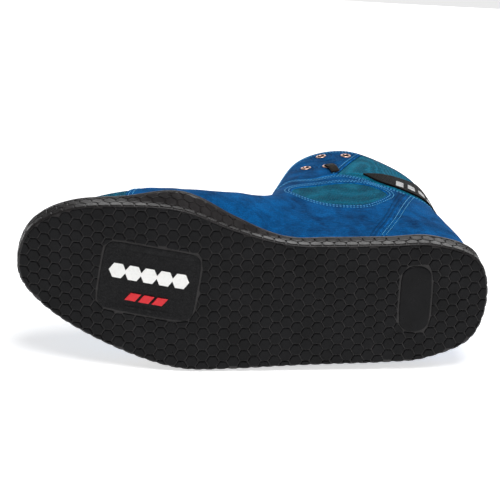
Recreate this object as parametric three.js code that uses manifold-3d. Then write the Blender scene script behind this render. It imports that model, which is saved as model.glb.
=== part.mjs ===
// A right boxing boot: rubber cup sole, suede and mesh upper, laced ankle flaps and a padded tongue.
// Millimetres. The boot stands on its sole at z = 0, toe towards -Y, inner (medial) side towards +X.
import * as THREE from 'three';
import { mergeVertices } from 'three/addons/utils/BufferGeometryUtils.js';
import Module from 'manifold-3d';

const wasm = await Module();
wasm.setup();

// Overall sizes
const outsoleLength = 302;
const ballWidth = 113; // outsole across the ball of the foot
const bootHeight = 182; // ground to the top of the ankle flaps
const toeSpring = 22; // lift of the toe tip above the ground
const flexLine = -20; // the sole lies flat behind this line
const toeBoxHeight = 56;
const ballHeight = 71;
const instepHeight = 84;
const throatHeight = 112;
const quarterHeight = 128; // highest point of the quarter's topline
const counterHeight = 102; // topline round the heel
const heelCollarHeight = 146;

// Sole sizes
const floorThickness = 4.5;
const wallThickness = 2.8;
const edgeRound = 1.2;
const toeWallHeight = 26;
const ballWallHeight = 28;
const archWallHeight = 16;
const heelWallHeight = 20;
const midsoleThickness = 5;
const boardThickness = 1.6;
const sockThickness = 3.5;
const badgeLength = 62;
const badgeWidth = 46;
const badgeThickness = 1.1;
const badgeTilt = 0.14;
const markThickness = 0.5;
const pivotPadWidth = 45;
const pivotPadLength = 20;

// Upper layers
const suedeThickness = 1.4;
const paddingThickness = 1;
const liningThickness = 1;
const bandThickness = 1.2;
const bindingThickness = 1.6;
const tongueThickness = 5;
const windowLength = 66;
const windowHeight = 40;
const windowFront = 32; // front tip of the mesh window
const windowFoot = 70; // its lowest edge
const hingeY = 70; // foot of each ankle flap's rear edge
const hingeLean = 0.53; // how far that edge leans back for each millimetre up

// Fastenings
const eyeletBore = 4.4;
const eyeletWall = 0.6;
const eyeletFlange = 7.6;
const flangeThickness = 0.7;
const laceWidth = 6;
const laceThickness = 1.1;

const clearance = 0.3; // between neighbouring pieces
const gap = clearance / 2;
const far = 400; // beyond the boot in any direction
const halfLength = outsoleLength / 2;
const halfWidth = ballWidth / 2;

const looks = {
  rubber: { color: 0x1b1c1e, roughness: 0.62, metalness: 0 },
  suede: { color: 0x0b4f8f, roughness: 0.95, metalness: 0 },
  mesh: { color: 0x14708c, roughness: 0.85, metalness: 0 },
  lining: { color: 0x16324a, roughness: 0.9, metalness: 0 },
  foam: { color: 0x39424a, roughness: 0.9, metalness: 0 },
  board: { color: 0xb8a98c, roughness: 0.9, metalness: 0 },
  webbing: { color: 0x101114, roughness: 0.8, metalness: 0 },
  lace: { color: 0x17120f, roughness: 0.85, metalness: 0 },
  copper: { color: 0xb98474, roughness: 0.3, metalness: 1 },
  white: { color: 0xf0f0ee, roughness: 0.6, metalness: 0 },
  red: { color: 0xc81e28, roughness: 0.6, metalness: 0 },
};

const boot = new THREE.Group();
const materials = {};

function addPiece(name, geometry, look) {
  materials[look] ??= new THREE.MeshStandardMaterial(looks[look]);
  const mesh = new THREE.Mesh(geometry, materials[look]);
  mesh.name = name;
  boot.add(mesh);
}

// Solids ------------------------------------------------------------------

function toSolid(geometry) {
  const bare = geometry.clone();
  bare.deleteAttribute('normal');
  bare.deleteAttribute('uv');
  const merged = mergeVertices(bare, 1e-5);
  return new wasm.Manifold(new wasm.Mesh({
    numProp: 3,
    vertProperties: new Float32Array(merged.attributes.position.array),
    triVerts: new Uint32Array(merged.index.array),
  }));
}

function toGeometry(solid) {
  const mesh = solid.getMesh();
  const geometry = new THREE.BufferGeometry();
  geometry.setAttribute('position', new THREE.BufferAttribute(new Float32Array(mesh.vertProperties), 3));
  geometry.setIndex(new THREE.BufferAttribute(new Uint32Array(mesh.triVerts), 1));
  geometry.computeVertexNormals();
  return geometry;
}

// The largest of the bodies a cut leaves, without slivers.
const sliver = 0.1;
function mainBody(solid) {
  return solid.simplify(sliver).decompose().sort((a, b) => b.volume() - a.volume())[0];
}

function addSolid(name, solid, look) {
  addPiece(name, toGeometry(mainBody(solid)), look);
}

function indexed(points, faces) {
  const geometry = new THREE.BufferGeometry();
  geometry.setAttribute('position', new THREE.Float32BufferAttribute(points.flatMap((p) => p.toArray()), 3));
  geometry.setIndex(faces);
  return geometry;
}

// A curved plate between two grids of points: at(i, j, side) gives the point, side 1 is the outer face.
function plate(at, columns, rows) {
  const points = [];
  const faces = [];
  const index = (i, j, side) => (i * (rows + 1) + j) * 2 + side;
  const quad = (a, b, c, d) => faces.push(a, b, c, a, c, d);
  for (let i = 0; i <= columns; i++)
    for (let j = 0; j <= rows; j++) points.push(at(i / columns, j / rows, 0), at(i / columns, j / rows, 1));
  for (let i = 0; i < columns; i++)
    for (let j = 0; j < rows; j++) {
      quad(index(i, j, 1), index(i + 1, j, 1), index(i + 1, j + 1, 1), index(i, j + 1, 1));
      quad(index(i, j, 0), index(i, j + 1, 0), index(i + 1, j + 1, 0), index(i + 1, j, 0));
    }
  for (let i = 0; i < columns; i++) {
    quad(index(i, 0, 0), index(i + 1, 0, 0), index(i + 1, 0, 1), index(i, 0, 1));
    quad(index(i, rows, 1), index(i + 1, rows, 1), index(i + 1, rows, 0), index(i, rows, 0));
  }
  for (let j = 0; j < rows; j++) {
    quad(index(0, j, 1), index(0, j + 1, 1), index(0, j + 1, 0), index(0, j, 0));
    quad(index(columns, j, 0), index(columns, j + 1, 0), index(columns, j + 1, 1), index(columns, j, 1));
  }
  return indexed(points, faces);
}

// The outline of the sole ---------------------------------------------------

// Stations run from the toe tip (0) to the back of the heel (11): x and y in shares of the half
// width and half length, inner side first.
const innerEdge = [
  [0.35, -1], [0.75, -0.94], [1, -0.78], [1.08, -0.56], [1.06, -0.32], [0.83, -0.09],
  [0.67, 0.13], [0.65, 0.33], [0.66, 0.56], [0.66, 0.76], [0.47, 0.95], [0, 1],
];
const outerEdge = [
  [0.35, -1], [0.02, -0.967], [-0.32, -0.82], [-0.64, -0.58], [-0.85, -0.33], [-0.86, -0.1],
  [-0.83, 0.13], [-0.81, 0.34], [-0.79, 0.58], [-0.74, 0.75], [-0.5, 0.94], [0, 1],
];
const stations = innerEdge.length - 1;
const upperColumns = 18; // facets along each side of the boot
const upperRows = 7;
const around = 2 * stations;

// A closed loop of rows: the inner side from toe to heel, then the outer side back to the toe.
const loop = (inner, outer) => [...inner, ...outer.slice(1, -1).reverse()];

function catmullRom(a, b, c, d, t) {
  return b + 0.5 * t * (c - a + t * (2 * a - 5 * b + 4 * c - d + t * (3 * (b - c) + d - a)));
}

function rowAt(rows, u) {
  const count = rows.length;
  const wrapped = ((u % count) + count) % count;
  const i = Math.floor(wrapped);
  const [a, b, c, d] = [-1, 0, 1, 2].map((step) => rows[(i + step + count) % count]);
  return b.map((_, k) => catmullRom(a[k], b[k], c[k], d[k], wrapped - i));
}

const edgeLoop = loop(innerEdge, outerEdge);

function toeLift(y) {
  const bend = Math.max(0, (flexLine - y) / (halfLength + flexLine));
  return toeSpring * bend ** 1.9;
}

function edgePoint(u, inset = 0) {
  const place = (v) => {
    const [x, y] = rowAt(edgeLoop, v);
    return new THREE.Vector2(x * halfWidth, y * halfLength);
  };
  const along = place(u + 0.02).sub(place(u - 0.02)).normalize();
  return place(u).add(new THREE.Vector2(-along.y, along.x).multiplyScalar(inset));
}

// A closed body turned round the sole's outline from rings of [inset, height] pairs, listed from the
// middle of the underside, round the edge, to the middle of the top. A ring may vary round the sole.
function soleBody(rings, steps = 2 * upperColumns) {
  const points = [];
  const faces = [];
  rings.forEach((ring) => {
    for (let i = 0; i < steps; i++) points.push(ring((i / steps) * around));
  });
  for (let r = 0; r + 1 < rings.length; r++)
    for (let i = 0; i < steps; i++) {
      const next = (i + 1) % steps;
      const [a, b, c, d] = [r * steps + i, r * steps + next, (r + 1) * steps + next, (r + 1) * steps + i];
      faces.push(a, b, c, a, c, d);
    }
  const cap = (first, up) => {
    for (let i = 0; i < steps / 2; i++) {
      const [a, b, c, d] = [i, i + 1, (steps - i - 1) % steps, (steps - i) % steps].map((k) => first + k);
      const ends = [[a, b, c], [a, c, d]].filter((face) => new Set(face).size === 3);
      ends.forEach((face) => faces.push(...(up ? face : face.reverse())));
    }
  };
  cap(0, false);
  cap((rings.length - 1) * steps, true);
  return toSolid(indexed(points, faces));
}

const soleRing = (inset, height) => (u) => {
  const p = edgePoint(u, inset);
  return new THREE.Vector3(p.x, p.y, height + toeLift(p.y));
};

const capInset = 8; // a second ring this far in keeps the curved toe true across each face
const soleLayer = (inset, low, high) => soleBody([
  soleRing(inset + capInset, low), soleRing(inset, low),
  soleRing(inset, high), soleRing(inset + capInset, high),
]);

// The shape of the upper ----------------------------------------------------

const featherHeight = floorThickness + clearance + midsoleThickness + clearance;
const featherInset = wallThickness + 2 * clearance + suedeThickness;

// Where the upper ends at the top: centre line x, half opening, y (shares), and height. The first
// stations meet on the ridge of the vamp, the rest follow the throat, the flaps and the collar.
const topLine = [
  [0.34, 0, -0.77, toeBoxHeight], [0.32, 0, -0.74, toeBoxHeight + 1], [0.27, 0, -0.65, toeBoxHeight + 3],
  [0.2, 0, -0.48, ballHeight - 7], [0.13, 0, -0.28, ballHeight], [0.08, 0.27, -0.08, instepHeight],
  [0.03, 0.46, 0.12, throatHeight], [0, 0.65, 0.31, bootHeight - 6], [0, 0.78, 0.515, bootHeight],
  [0, 0.7, 0.7, bootHeight - 11], [0, 0.48, 0.865, heelCollarHeight + 8], [0, 0, 0.96, heelCollarHeight],
];
// How the upper leaves the sole and arrives at the top: outward, backward and upward pulls.
const rise = [
  [0, -3, 14], [2, -2, 15], [3, 0, 18], [3, 0, 22], [1, 0, 28], [0, 0, 32],
  [5, 0, 42], [10, 0, 55], [8, 0, 55], [5, 1, 50], [2, 4, 42], [0, 5, 40],
];
const arrive = [
  [0, -18, 0], [14, -12, 0], [26, -4, 0], [29, 0, -1], [26, 4, -4], [20, 10, -14],
  [12, 8, -34], [6, 0, -55], [0, -2, -60], [1, -3, -55], [-1, -6, -48], [0, -9, -48],
];
// Over the ball and the inner arch the foot bulges past the sole: extra outward pulls, inner side only.
const innerSwell = [
  [0, 0], [0, 2], [-4, 16], [-1, 30], [14, 22], [20, 18], [3, 16], [0, 2], [0, 0], [0, 0], [0, 0], [0, 0],
];
const sided = (rows, place) => loop(
  rows.map((row, k) => place(row, 1, innerSwell[k])), rows.map((row) => place(row, -1, [0, 0])),
);
const topLoop = sided(topLine, ([x, open, y, z], side) => [
  x * halfWidth, side * open * halfWidth, y * halfLength, z,
]);
const riseLoop = sided(rise, ([x, y, z], side, [swell]) => [side * x + swell, y, z]);
const arriveLoop = sided(arrive, ([x, y, z], side, [, swell]) => [side * x + swell, y, z]);

// A point of the upper's inner suede face: u goes round the boot, h from the sole (0) to the top (1).
function upperPoint(u, h) {
  const foot = soleRing(featherInset, featherHeight)(u);
  const [x, open, y, z] = rowAt(topLoop, u);
  const inner = ((u % around) + around) % around <= stations;
  const top = new THREE.Vector3(x + (inner ? Math.max(0, open) : Math.min(0, open)), y, z);
  const low = foot.clone().add(new THREE.Vector3(...rowAt(riseLoop, u)));
  const high = top.clone().add(new THREE.Vector3(...rowAt(arriveLoop, u)));
  const g = 1 - h;
  return foot.multiplyScalar(g * g * g)
    .add(low.multiplyScalar(3 * g * g * h))
    .add(high.multiplyScalar(3 * g * h * h))
    .add(top.multiplyScalar(h * h * h));
}

// The outward normal. Near the top it is taken a little lower, because the stations meet at the toe's ridge.
function upperNormal(u, h) {
  const step = 0.01;
  const low = Math.min(h, 0.94);
  const along = upperPoint(u + step, low).sub(upperPoint(u - step, low));
  const up = upperPoint(u, low + step).sub(upperPoint(u, low - step));
  return along.cross(up).normalize();
}

const offsetPoint = (u, h, offset) => upperPoint(u, h).addScaledVector(upperNormal(u, h), offset);

// The share h at which the upper reaches a height.
function shareAt(u, height) {
  let [low, high] = [0, 1];
  for (let i = 0; i < 24; i++) {
    const middle = (low + high) / 2;
    if (upperPoint(u, middle).z < height) low = middle;
    else high = middle;
  }
  return low;
}

// The place on one side of the upper (side 1 inner, -1 outer) at a given y and z.
function placeOn(side, y, z) {
  const station = (s) => (side > 0 ? s : around - s);
  let [low, high] = [0, stations];
  for (let i = 0; i < 24; i++) {
    const middle = (low + high) / 2;
    if (upperPoint(station(middle), shareAt(station(middle), z)).y < y) low = middle;
    else high = middle;
  }
  return { u: station(low), h: shareAt(station(low), z) };
}

// Stands a shape turned about Z on the upper at a place, its own z = 0 on the inner suede face.
function seatOn({ u, h }, geometry) {
  const normal = upperNormal(u, h);
  const turn = new THREE.Quaternion().setFromUnitVectors(new THREE.Vector3(0, 0, 1), normal);
  return geometry.applyQuaternion(turn).translate(...upperPoint(u, h).toArray());
}

const post = (radius, low, high) => new THREE.CylinderGeometry(radius, radius, high - low, 8)
  .rotateX(Math.PI / 2).translate(0, 0, (low + high) / 2);

// The two halves cross a little on the ridge, at the toe and at the heel, so that they join.
const ridgeOverlap = 0.02;
const toeOverlap = 0.02;
const heelOverlap = 0.003;
const lastRidgeStation = 3.8;

// One layer of the upper between two offsets from its inner suede face, both sides joined.
function upperLayer(low, high) {
  const half = (first, last) => toSolid(plate((a, b, side) => {
    const u = first + a * (last - first);
    const station = Math.min(u, around - u);
    const top = station < lastRidgeStation ? 1 + ridgeOverlap : 1;
    return offsetPoint(u, b * top, side ? high : low);
  }, upperColumns, upperRows));
  const inner = half(-toeOverlap, stations + heelOverlap);
  const outer = half(stations - heelOverlap, around + toeOverlap);
  return inner.add(outer).subtract(soleLayer(-clearance, -far, featherHeight + gap));
}

// Cutting shapes ------------------------------------------------------------

const seamSteps = 6; // facets between two points of a seam
function smoothed(points, steps = seamSteps) {
  const curve = new THREE.SplineCurve(points.map(([a, b]) => new THREE.Vector2(a, b)));
  return curve.getPoints(steps * (points.length - 1)).map((p) => [p.x, p.y]);
}

// A prism across the boot whose outline is given in y and z, from x = low to x = high.
function sidePrism(outline, low = -200, high = 200) {
  const shape = new THREE.Shape(outline.map(([y, z]) => new THREE.Vector2(y, z)));
  const geometry = new THREE.ExtrudeGeometry(shape, { depth: high - low, bevelEnabled: false });
  geometry.applyMatrix4(new THREE.Matrix4().makeBasis(
    new THREE.Vector3(0, 1, 0), new THREE.Vector3(0, 0, 1), new THREE.Vector3(1, 0, 0),
  ));
  return toSolid(geometry).translate([low, 0, 0]);
}

// A prism up through the sole whose outline is given in x and y.
function solePrism(outline, low = -20, high = 60) {
  const shape = new THREE.Shape(outline.map(([x, y]) => new THREE.Vector2(x, y)));
  const geometry = new THREE.ExtrudeGeometry(shape, { depth: high - low, bevelEnabled: false });
  return toSolid(geometry).translate([0, 0, low]);
}

// A rectangle with round corners, turned by an angle about its middle.
function roundedOutline(cx, cy, width, length, radius, turn = 0) {
  const points = [];
  const corners = [[1, 1], [-1, 1], [-1, -1], [1, -1]];
  corners.forEach(([sx, sy], quarter) => {
    for (let k = 0; k <= 5; k++) {
      const angle = (quarter + k / 5) * Math.PI / 2;
      const x = sx * (width / 2 - radius) + radius * Math.cos(angle);
      const y = sy * (length / 2 - radius) + radius * Math.sin(angle);
      const [c, s] = [Math.cos(turn), Math.sin(turn)];
      points.push([cx + x * c - y * s, cy + x * s + y * c]);
    }
  });
  return points;
}

// Seam lines in y and z: a prism keeps what lies on one side of a seam, moved by half the clearance.
const shifted = (line, dy, dz) => line.map(([y, z]) => [y + dy, z + dz]);
const behind = (line) => sidePrism([
  [line[0][0], -far], ...line, [line.at(-1)[0], far], [far, far], [far, -far],
]);
const below = (line) => sidePrism([
  [-far, line[0][1]], ...line, [far, line.at(-1)[1]], [far, -far], [-far, -far],
]);

const yAt = (share) => share * halfLength;
const topSeam = smoothed([
  [yAt(-0.3), throatHeight + 9], [yAt(0.12), throatHeight + 9], [yAt(0.31), quarterHeight - 7],
  [yAt(0.45), quarterHeight], [yAt(0.56), quarterHeight - 7], [yAt(0.65), counterHeight + 6],
  [yAt(0.77), counterHeight], [yAt(0.92), counterHeight + 3], [yAt(1.2), counterHeight + 4],
]);
const counterSeam = smoothed([
  [yAt(0.48), -30], [yAt(0.52), archWallHeight], [yAt(0.63), counterHeight / 2],
  [yAt(0.76), counterHeight], [yAt(0.9), quarterHeight + 30],
]);
const vampSeam = smoothed([
  [yAt(-0.54), -30], [yAt(-0.55), ballWallHeight], [yAt(-0.47), ballHeight - 12],
  [yAt(-0.36), ballHeight + 4], [yAt(-0.3), ballHeight + 40],
]);
const toeSeam = smoothed([
  [yAt(-0.67), -30], [yAt(-0.68), ballWallHeight + 5], [yAt(-0.7), toeBoxHeight - 4],
  [yAt(-0.71), toeBoxHeight + 40],
]);
const hingeZ = quarterHeight + 3;
const leaning = (z) => [hingeY + hingeLean * (z - hingeZ), z];
const flapSeam = [leaning(hingeZ - 40), leaning(bootHeight + 30)];
// The window is a leaf: its round back end lies over the heel, its long lower edge falls to the front.
const windowLeaf = [[0, 0.45], [0.06, 0.7], [0.34, 0.93], [0.62, 1], [0.86, 0.88], [1, 0.53], [0.82, 0.15],
  [0.64, 0], [0.3, 0.1]];
const windowOutline = smoothed([...windowLeaf, windowLeaf[0]], 3).slice(0, -1)
  .map(([y, z]) => [windowFront + y * windowLength, windowFoot + z * windowHeight]).reverse();
const widened = (outline, by) => {
  const cy = outline.reduce((sum, [y]) => sum + y, 0) / outline.length;
  const cz = outline.reduce((sum, p) => sum + p[1], 0) / outline.length;
  return outline.map(([y, z]) => {
    const reach = Math.hypot(y - cy, z - cz);
    return [cy + (y - cy) * (1 + by / reach), cz + (z - cz) * (1 + by / reach)];
  });
};

const everywhere = [[-far, -far], [far, -far], [far, far], [-far, far]];
const innerSide = (solid) => solid.intersect(sidePrism(everywhere, gap, far));
const outerSide = (solid) => solid.intersect(sidePrism(everywhere, -far, -gap));
const sides = [['medial', 1, innerSide], ['lateral', -1, outerSide]];

// Prisms on the two sides of each seam.
const lowerPart = below(shifted(topSeam, 0, -gap));
const upperPart = below(shifted(topSeam, 0, gap));
const collarZone = behind(shifted(flapSeam, gap, 0));
const frontZone = behind(shifted(flapSeam, -gap, 0));
const heelZone = behind(shifted(counterSeam, gap, 0));
const quarterZone = behind(shifted(counterSeam, -gap, 0));
const behindVamp = behind(shifted(vampSeam, gap, 0));
const beforeVamp = behind(shifted(vampSeam, -gap, 0));
const behindToe = behind(shifted(toeSeam, gap, 0));
const beforeToe = behind(shifted(toeSeam, -gap, 0));

// Eyelets -------------------------------------------------------------------

const flapEyelets = [[50, 149], [65, 147], [64, 172], [81, 168]];
const throatEyelets = [4.75, 5.25, 5.75];
const eyeletEdge = 8; // eyelet centre to the edge of the throat

function throatPlace(side, station) {
  const u = side > 0 ? station : around - station;
  const length = upperPoint(u, 1).distanceTo(upperPoint(u, 0.9)) * 10;
  return { u, h: 1 - eyeletEdge / length };
}

const eyeletPlaces = {};
sides.forEach(([word, side]) => {
  eyeletPlaces[word] = {
    flap: flapEyelets.map(([y, z]) => placeOn(side, y, z)),
    throat: throatEyelets.map((station) => throatPlace(side, station)),
  };
});
const allPlaces = sides.flatMap(([word]) => [...eyeletPlaces[word].flap, ...eyeletPlaces[word].throat]);

const liningDepth = clearance * 2 + paddingThickness + liningThickness;
const flangeLow = suedeThickness + clearance * 3;
const punches = allPlaces.map((place) => {
  const bore = post(eyeletBore / 2 + eyeletWall + 2 * clearance, -8, 8);
  const seat = post(eyeletFlange / 2 + clearance, flangeLow - clearance, 8);
  return toSolid(seatOn(place, bore)).add(toSolid(seatOn(place, seat)));
});
const punched = (solid) => punches.reduce((left, pin) => left.subtract(pin), solid);

const flangeHigh = flangeLow + flangeThickness;
const eyeletProfile = [
  [eyeletBore / 2, -liningDepth], [eyeletBore / 2 + eyeletWall, -liningDepth],
  [eyeletBore / 2 + eyeletWall, flangeLow], [eyeletFlange / 2, flangeLow],
  [eyeletFlange / 2 - 0.4, flangeHigh], [eyeletBore / 2, flangeHigh], [eyeletBore / 2, -liningDepth],
].map(([r, z]) => new THREE.Vector2(r, z));

function eyeletGeometry(place) {
  return seatOn(place, new THREE.LatheGeometry(eyeletProfile, 10).rotateX(Math.PI / 2));
}

// Sole ----------------------------------------------------------------------

function wallHeight(u) {
  const heights = [
    toeWallHeight, toeWallHeight - 1, toeWallHeight - 2, ballWallHeight - 4, ballWallHeight,
    archWallHeight + 3, archWallHeight - 1, archWallHeight, archWallHeight, archWallHeight + 2,
    heelWallHeight - 1, heelWallHeight,
  ].map((z) => [z]);
  return rowAt(loop(heights, heights), u)[0];
}

const wallOffset = suedeThickness + 2 * clearance;
const wallRing = (share, offset) => (u) => {
  const foot = edgePoint(u);
  const top = shareAt(u, wallHeight(u) + toeLift(foot.y));
  return offsetPoint(u, top * share, offset);
};

function outsoleSolid() {
  const outer = wallOffset + wallThickness;
  const rings = [
    soleRing(edgeRound * 1.6 + capInset, 0), soleRing(edgeRound * 1.6, 0),
    soleRing(edgeRound * 0.4, edgeRound * 0.5), soleRing(0, edgeRound * 1.6),
    ...[0, 0.3, 0.6, 0.9].map((share) => wallRing(share, outer)),
    wallRing(1, outer - edgeRound * 0.6), wallRing(1, wallOffset),
    ...[0.66, 0.33, 0].map((share) => wallRing(share, wallOffset)),
    soleRing(wallThickness, floorThickness), soleRing(wallThickness + capInset, floorThickness),
  ];
  return soleBody(rings);
}

const badgeOutline = (grow) => roundedOutline(
  11, yAt(-0.45), badgeWidth + grow, badgeLength + grow, 8, badgeTilt,
);
const whiteOutline = (grow) => roundedOutline(15, yAt(-0.45), 12 + grow, 50 + grow, 2, badgeTilt);
const redOutline = (grow) => roundedOutline(-1, yAt(-0.46), 6 + grow, 26 + grow, 1.5, badgeTilt);
const padOutline = (grow) => roundedOutline(
  0, yAt(0.685), pivotPadWidth + grow, pivotPadLength + grow, pivotPadLength / 2 - 1,
);
const sunk = 0.15; // inlays stop just short of the ground
const sinkDepth = sunk + badgeThickness + clearance;

const skinOfSole = (low, high) => soleLayer(edgeRound * 4, low, high);
const pocket = (outline, depth) => skinOfSole(-1, depth).intersect(solePrism(outline(2 * clearance)));
const inlay = (outline, low, high) => skinOfSole(low, high).intersect(solePrism(outline(0)));

const outsole = outsoleSolid()
  .subtract(pocket(badgeOutline, sinkDepth))
  .subtract(pocket(padOutline, sinkDepth))
  .subtract(upperLayer(-paddingThickness, suedeThickness + clearance));
addSolid('outsole', outsole, 'rubber');
const markDepth = sunk + markThickness + clearance;
const badge = inlay(badgeOutline, sunk, sunk + badgeThickness)
  .subtract(pocket(whiteOutline, markDepth)).subtract(pocket(redOutline, markDepth));
addSolid('forefoot_badge', badge, 'rubber');
addSolid('badge_white_mark', inlay(whiteOutline, sunk, sunk + markThickness), 'white');
addSolid('badge_red_mark', inlay(redOutline, sunk, sunk + markThickness), 'red');
addSolid('heel_pivot_pad', inlay(padOutline, sunk, sunk + badgeThickness), 'rubber');

const midsoleLow = floorThickness + clearance;
const midsoleInset = wallThickness + 4 * clearance; // clear of the wall where it flares
addSolid('midsole', soleLayer(midsoleInset, midsoleLow, midsoleLow + midsoleThickness), 'foam');
const boardInset = featherInset + liningDepth + clearance * 2;
const boardLow = midsoleLow + midsoleThickness + clearance;
addSolid('lasting_board', soleLayer(boardInset, boardLow, boardLow + boardThickness), 'board');
const sockLow = boardLow + boardThickness + clearance;
addSolid('sockliner', soleLayer(boardInset + clearance, sockLow, sockLow + sockThickness), 'lining');

// Upper ---------------------------------------------------------------------

const suede = punched(upperLayer(0, suedeThickness));
const padding = punched(upperLayer(-clearance - paddingThickness, -clearance));
const lining = punched(upperLayer(-liningDepth, -clearance * 2 - paddingThickness));

addSolid('toe_cap', suede.subtract(beforeToe), 'suede');
addSolid('vamp_mesh', suede.intersect(behindToe).subtract(beforeVamp), 'mesh');
const quarter = suede.intersect(behindVamp).intersect(lowerPart).subtract(quarterZone);
const windowHole = sidePrism(widened(windowOutline, gap));
const windowPane = sidePrism(widened(windowOutline, -gap));
const collar = suede.intersect(collarZone).subtract(upperPart);
const flap = suede.subtract(frontZone).subtract(upperPart).intersect(behindVamp);
const flapLining = lining.subtract(frontZone).subtract(upperPart).intersect(behindVamp);

sides.forEach(([word, , half]) => {
  addSolid('quarter_' + word, half(quarter).subtract(windowHole), 'suede');
  addSolid('mesh_window_' + word, half(quarter).intersect(windowPane), 'mesh');
  addSolid('ankle_flap_' + word, half(flap), 'suede');
  addSolid('flap_lining_' + word, half(flapLining), 'lining');
});
addSolid('heel_counter_cover', suede.intersect(heelZone).intersect(lowerPart), 'suede');
addSolid('collar_mesh', collar, 'mesh');
addSolid('collar_padding', padding.intersect(collarZone).subtract(upperPart), 'foam');
addSolid('heel_stiffener', padding.intersect(heelZone).intersect(below(shifted(topSeam, 0, -30))), 'board');
const puff = punched(upperLayer(-clearance - paddingThickness, -clearance * 2));
const puffTop = below([[yAt(-1.3), toeBoxHeight - 8], [yAt(0), toeBoxHeight - 8]]);
addSolid('toe_puff', puff.subtract(beforeToe).intersect(puffTop), 'board');
addSolid('collar_lining', lining.intersect(collarZone).subtract(upperPart), 'lining');
addSolid('foot_lining', lining.intersect(lowerPart), 'lining');

// The band round the heel collar: a wedge that narrows to a point on each side.
const bandOutline = smoothed([
  [yAt(0.585), quarterHeight - 4], [yAt(0.65), counterHeight + 9], [yAt(0.77), counterHeight + 3],
  [yAt(0.92), counterHeight + 6], [yAt(1.2), counterHeight + 6],
]).concat(smoothed([
  [yAt(1.2), heelCollarHeight - 3], [yAt(0.95), heelCollarHeight - 3], [yAt(0.86), heelCollarHeight + 1],
  [yAt(0.78), heelCollarHeight - 8], [yAt(0.69), quarterHeight + 4], [yAt(0.585), quarterHeight],
]));
const bandLow = suedeThickness + clearance;
const band = upperLayer(bandLow, bandLow + bandThickness).intersect(sidePrism(bandOutline));
addSolid('ankle_band', band, 'webbing');

// The binding lies along the collar's edge, just above it.
const rimDepth = (suedeThickness - liningDepth) / 2;
const bindingLift = bindingThickness / 2 + clearance * 2;
const bindingPath = [];
for (let k = 0; k <= 20; k++) {
  const station = 8.2 + (k / 20) * (around - 16.4);
  const behindRim = offsetPoint(station - 0.05, 1, rimDepth);
  const along = offsetPoint(station + 0.05, 1, rimDepth).sub(behindRim).normalize();
  const rim = offsetPoint(station, 1, rimDepth);
  const up = rim.clone().sub(offsetPoint(station, 0.97, rimDepth));
  up.addScaledVector(along, -up.dot(along)).setLength(bindingLift);
  bindingPath.push(rim.add(up));
}
const bindingCurve = new THREE.CatmullRomCurve3(bindingPath);
const ring = (radius, count = 6) => new THREE.Shape(Array.from({ length: count }, (_, k) => {
  const angle = (k / count) * 2 * Math.PI;
  return new THREE.Vector2(Math.cos(angle), Math.sin(angle)).multiplyScalar(radius);
}));
addPiece('collar_binding', new THREE.ExtrudeGeometry(ring(bindingThickness / 2), {
  steps: 22, extrudePath: bindingCurve, bevelEnabled: false,
}), 'webbing');

sides.forEach(([word]) => {
  Object.entries(eyeletPlaces[word]).forEach(([row, places]) => {
    places.forEach((place, k) => addPiece(`${row}_eyelet_${word}_${k + 1}`, eyeletGeometry(place), 'copper'));
  });
});

// Small slanted marks woven into the band on each side.
const markStations = [9.15, 9.5, 9.85, 10.2];
const markLength = 0.2; // in stations
const markHeight = 12;
const markSlant = 0.12;
const bandMarkLow = bandLow + bandThickness + clearance;
sides.forEach(([word, side]) => {
  markStations.forEach((station, k) => {
    const middle = counterHeight + 14 + 3 * k;
    const mark = plate((a, b, face) => {
      const s = station + (a - 0.5) * markLength + (b - 0.5) * markSlant;
      const u = side > 0 ? s : around - s;
      const turned = side > 0 ? face : 1 - face;
      return offsetPoint(u, shareAt(u, middle + (b - 0.5) * markHeight), bandMarkLow + turned * 0.5);
    }, 2, 3);
    addPiece(`band_mark_${word}_${k + 1}`, mark, 'white');
  });
});

// Tongue ----------------------------------------------------------------------

// Down the middle of the outer face: y, z, half width, how far the edges lie behind the middle, and x.
const tongueLine = [
  [yAt(-0.29), ballHeight - 8, 14, 5, 7], [yAt(-0.08), instepHeight - 5, 19, 8, 4],
  [yAt(0.065), throatHeight - 6, 24, 15, 2], [yAt(0.13), (throatHeight + bootHeight) / 2 - 12, 29, 21, 1],
  [yAt(0.19), bootHeight - 8, 33, 25, 0], [yAt(0.22), bootHeight + 8, 32, 24, 0],
];
const tongueSweep = 1.05; // half angle of the arc across the tongue

function tonguePoint(t, across, depth) {
  const at = (v) => {
    const last = tongueLine.length - 1;
    const i = Math.min(last - 1, Math.floor(v * last));
    const row = (k) => tongueLine[Math.min(last, Math.max(0, k))];
    const [a, b, c, d] = [row(i - 1), row(i), row(i + 1), row(i + 2)];
    return b.map((_, k) => catmullRom(a[k], b[k], c[k], d[k], v * last - i));
  };
  const [y, z, half, drop, middle] = at(t);
  const ahead = at(Math.min(1, t + 0.01));
  const before = at(Math.max(0, t - 0.01));
  const rising = new THREE.Vector2(ahead[0] - before[0], ahead[1] - before[1]).normalize();
  const angle = across * tongueSweep;
  const share = (1 - Math.cos(angle)) / (1 - Math.cos(tongueSweep));
  const inward = drop * share + depth * Math.cos(angle);
  const x = half * Math.sin(angle) / Math.sin(tongueSweep) - depth * Math.sin(angle);
  return new THREE.Vector3(middle + x, y + rising.y * inward, z - rising.x * inward);
}

const tongue = toSolid(plate(
  (a, b, face) => tonguePoint(b, 2 * a - 1, face ? 0 : tongueThickness * (1 - 0.5 * (2 * a - 1) ** 2)), 8, 12,
));
const tongueSplit = throatHeight + 8;
const floorBlock = (height) => below([[0, height], [1, height]]);
addSolid('tongue_base', tongue.intersect(floorBlock(tongueSplit - gap)), 'mesh');
addSolid('tongue_top', tongue.subtract(floorBlock(tongueSplit + gap)), 'mesh');

// Lace ------------------------------------------------------------------------

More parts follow.
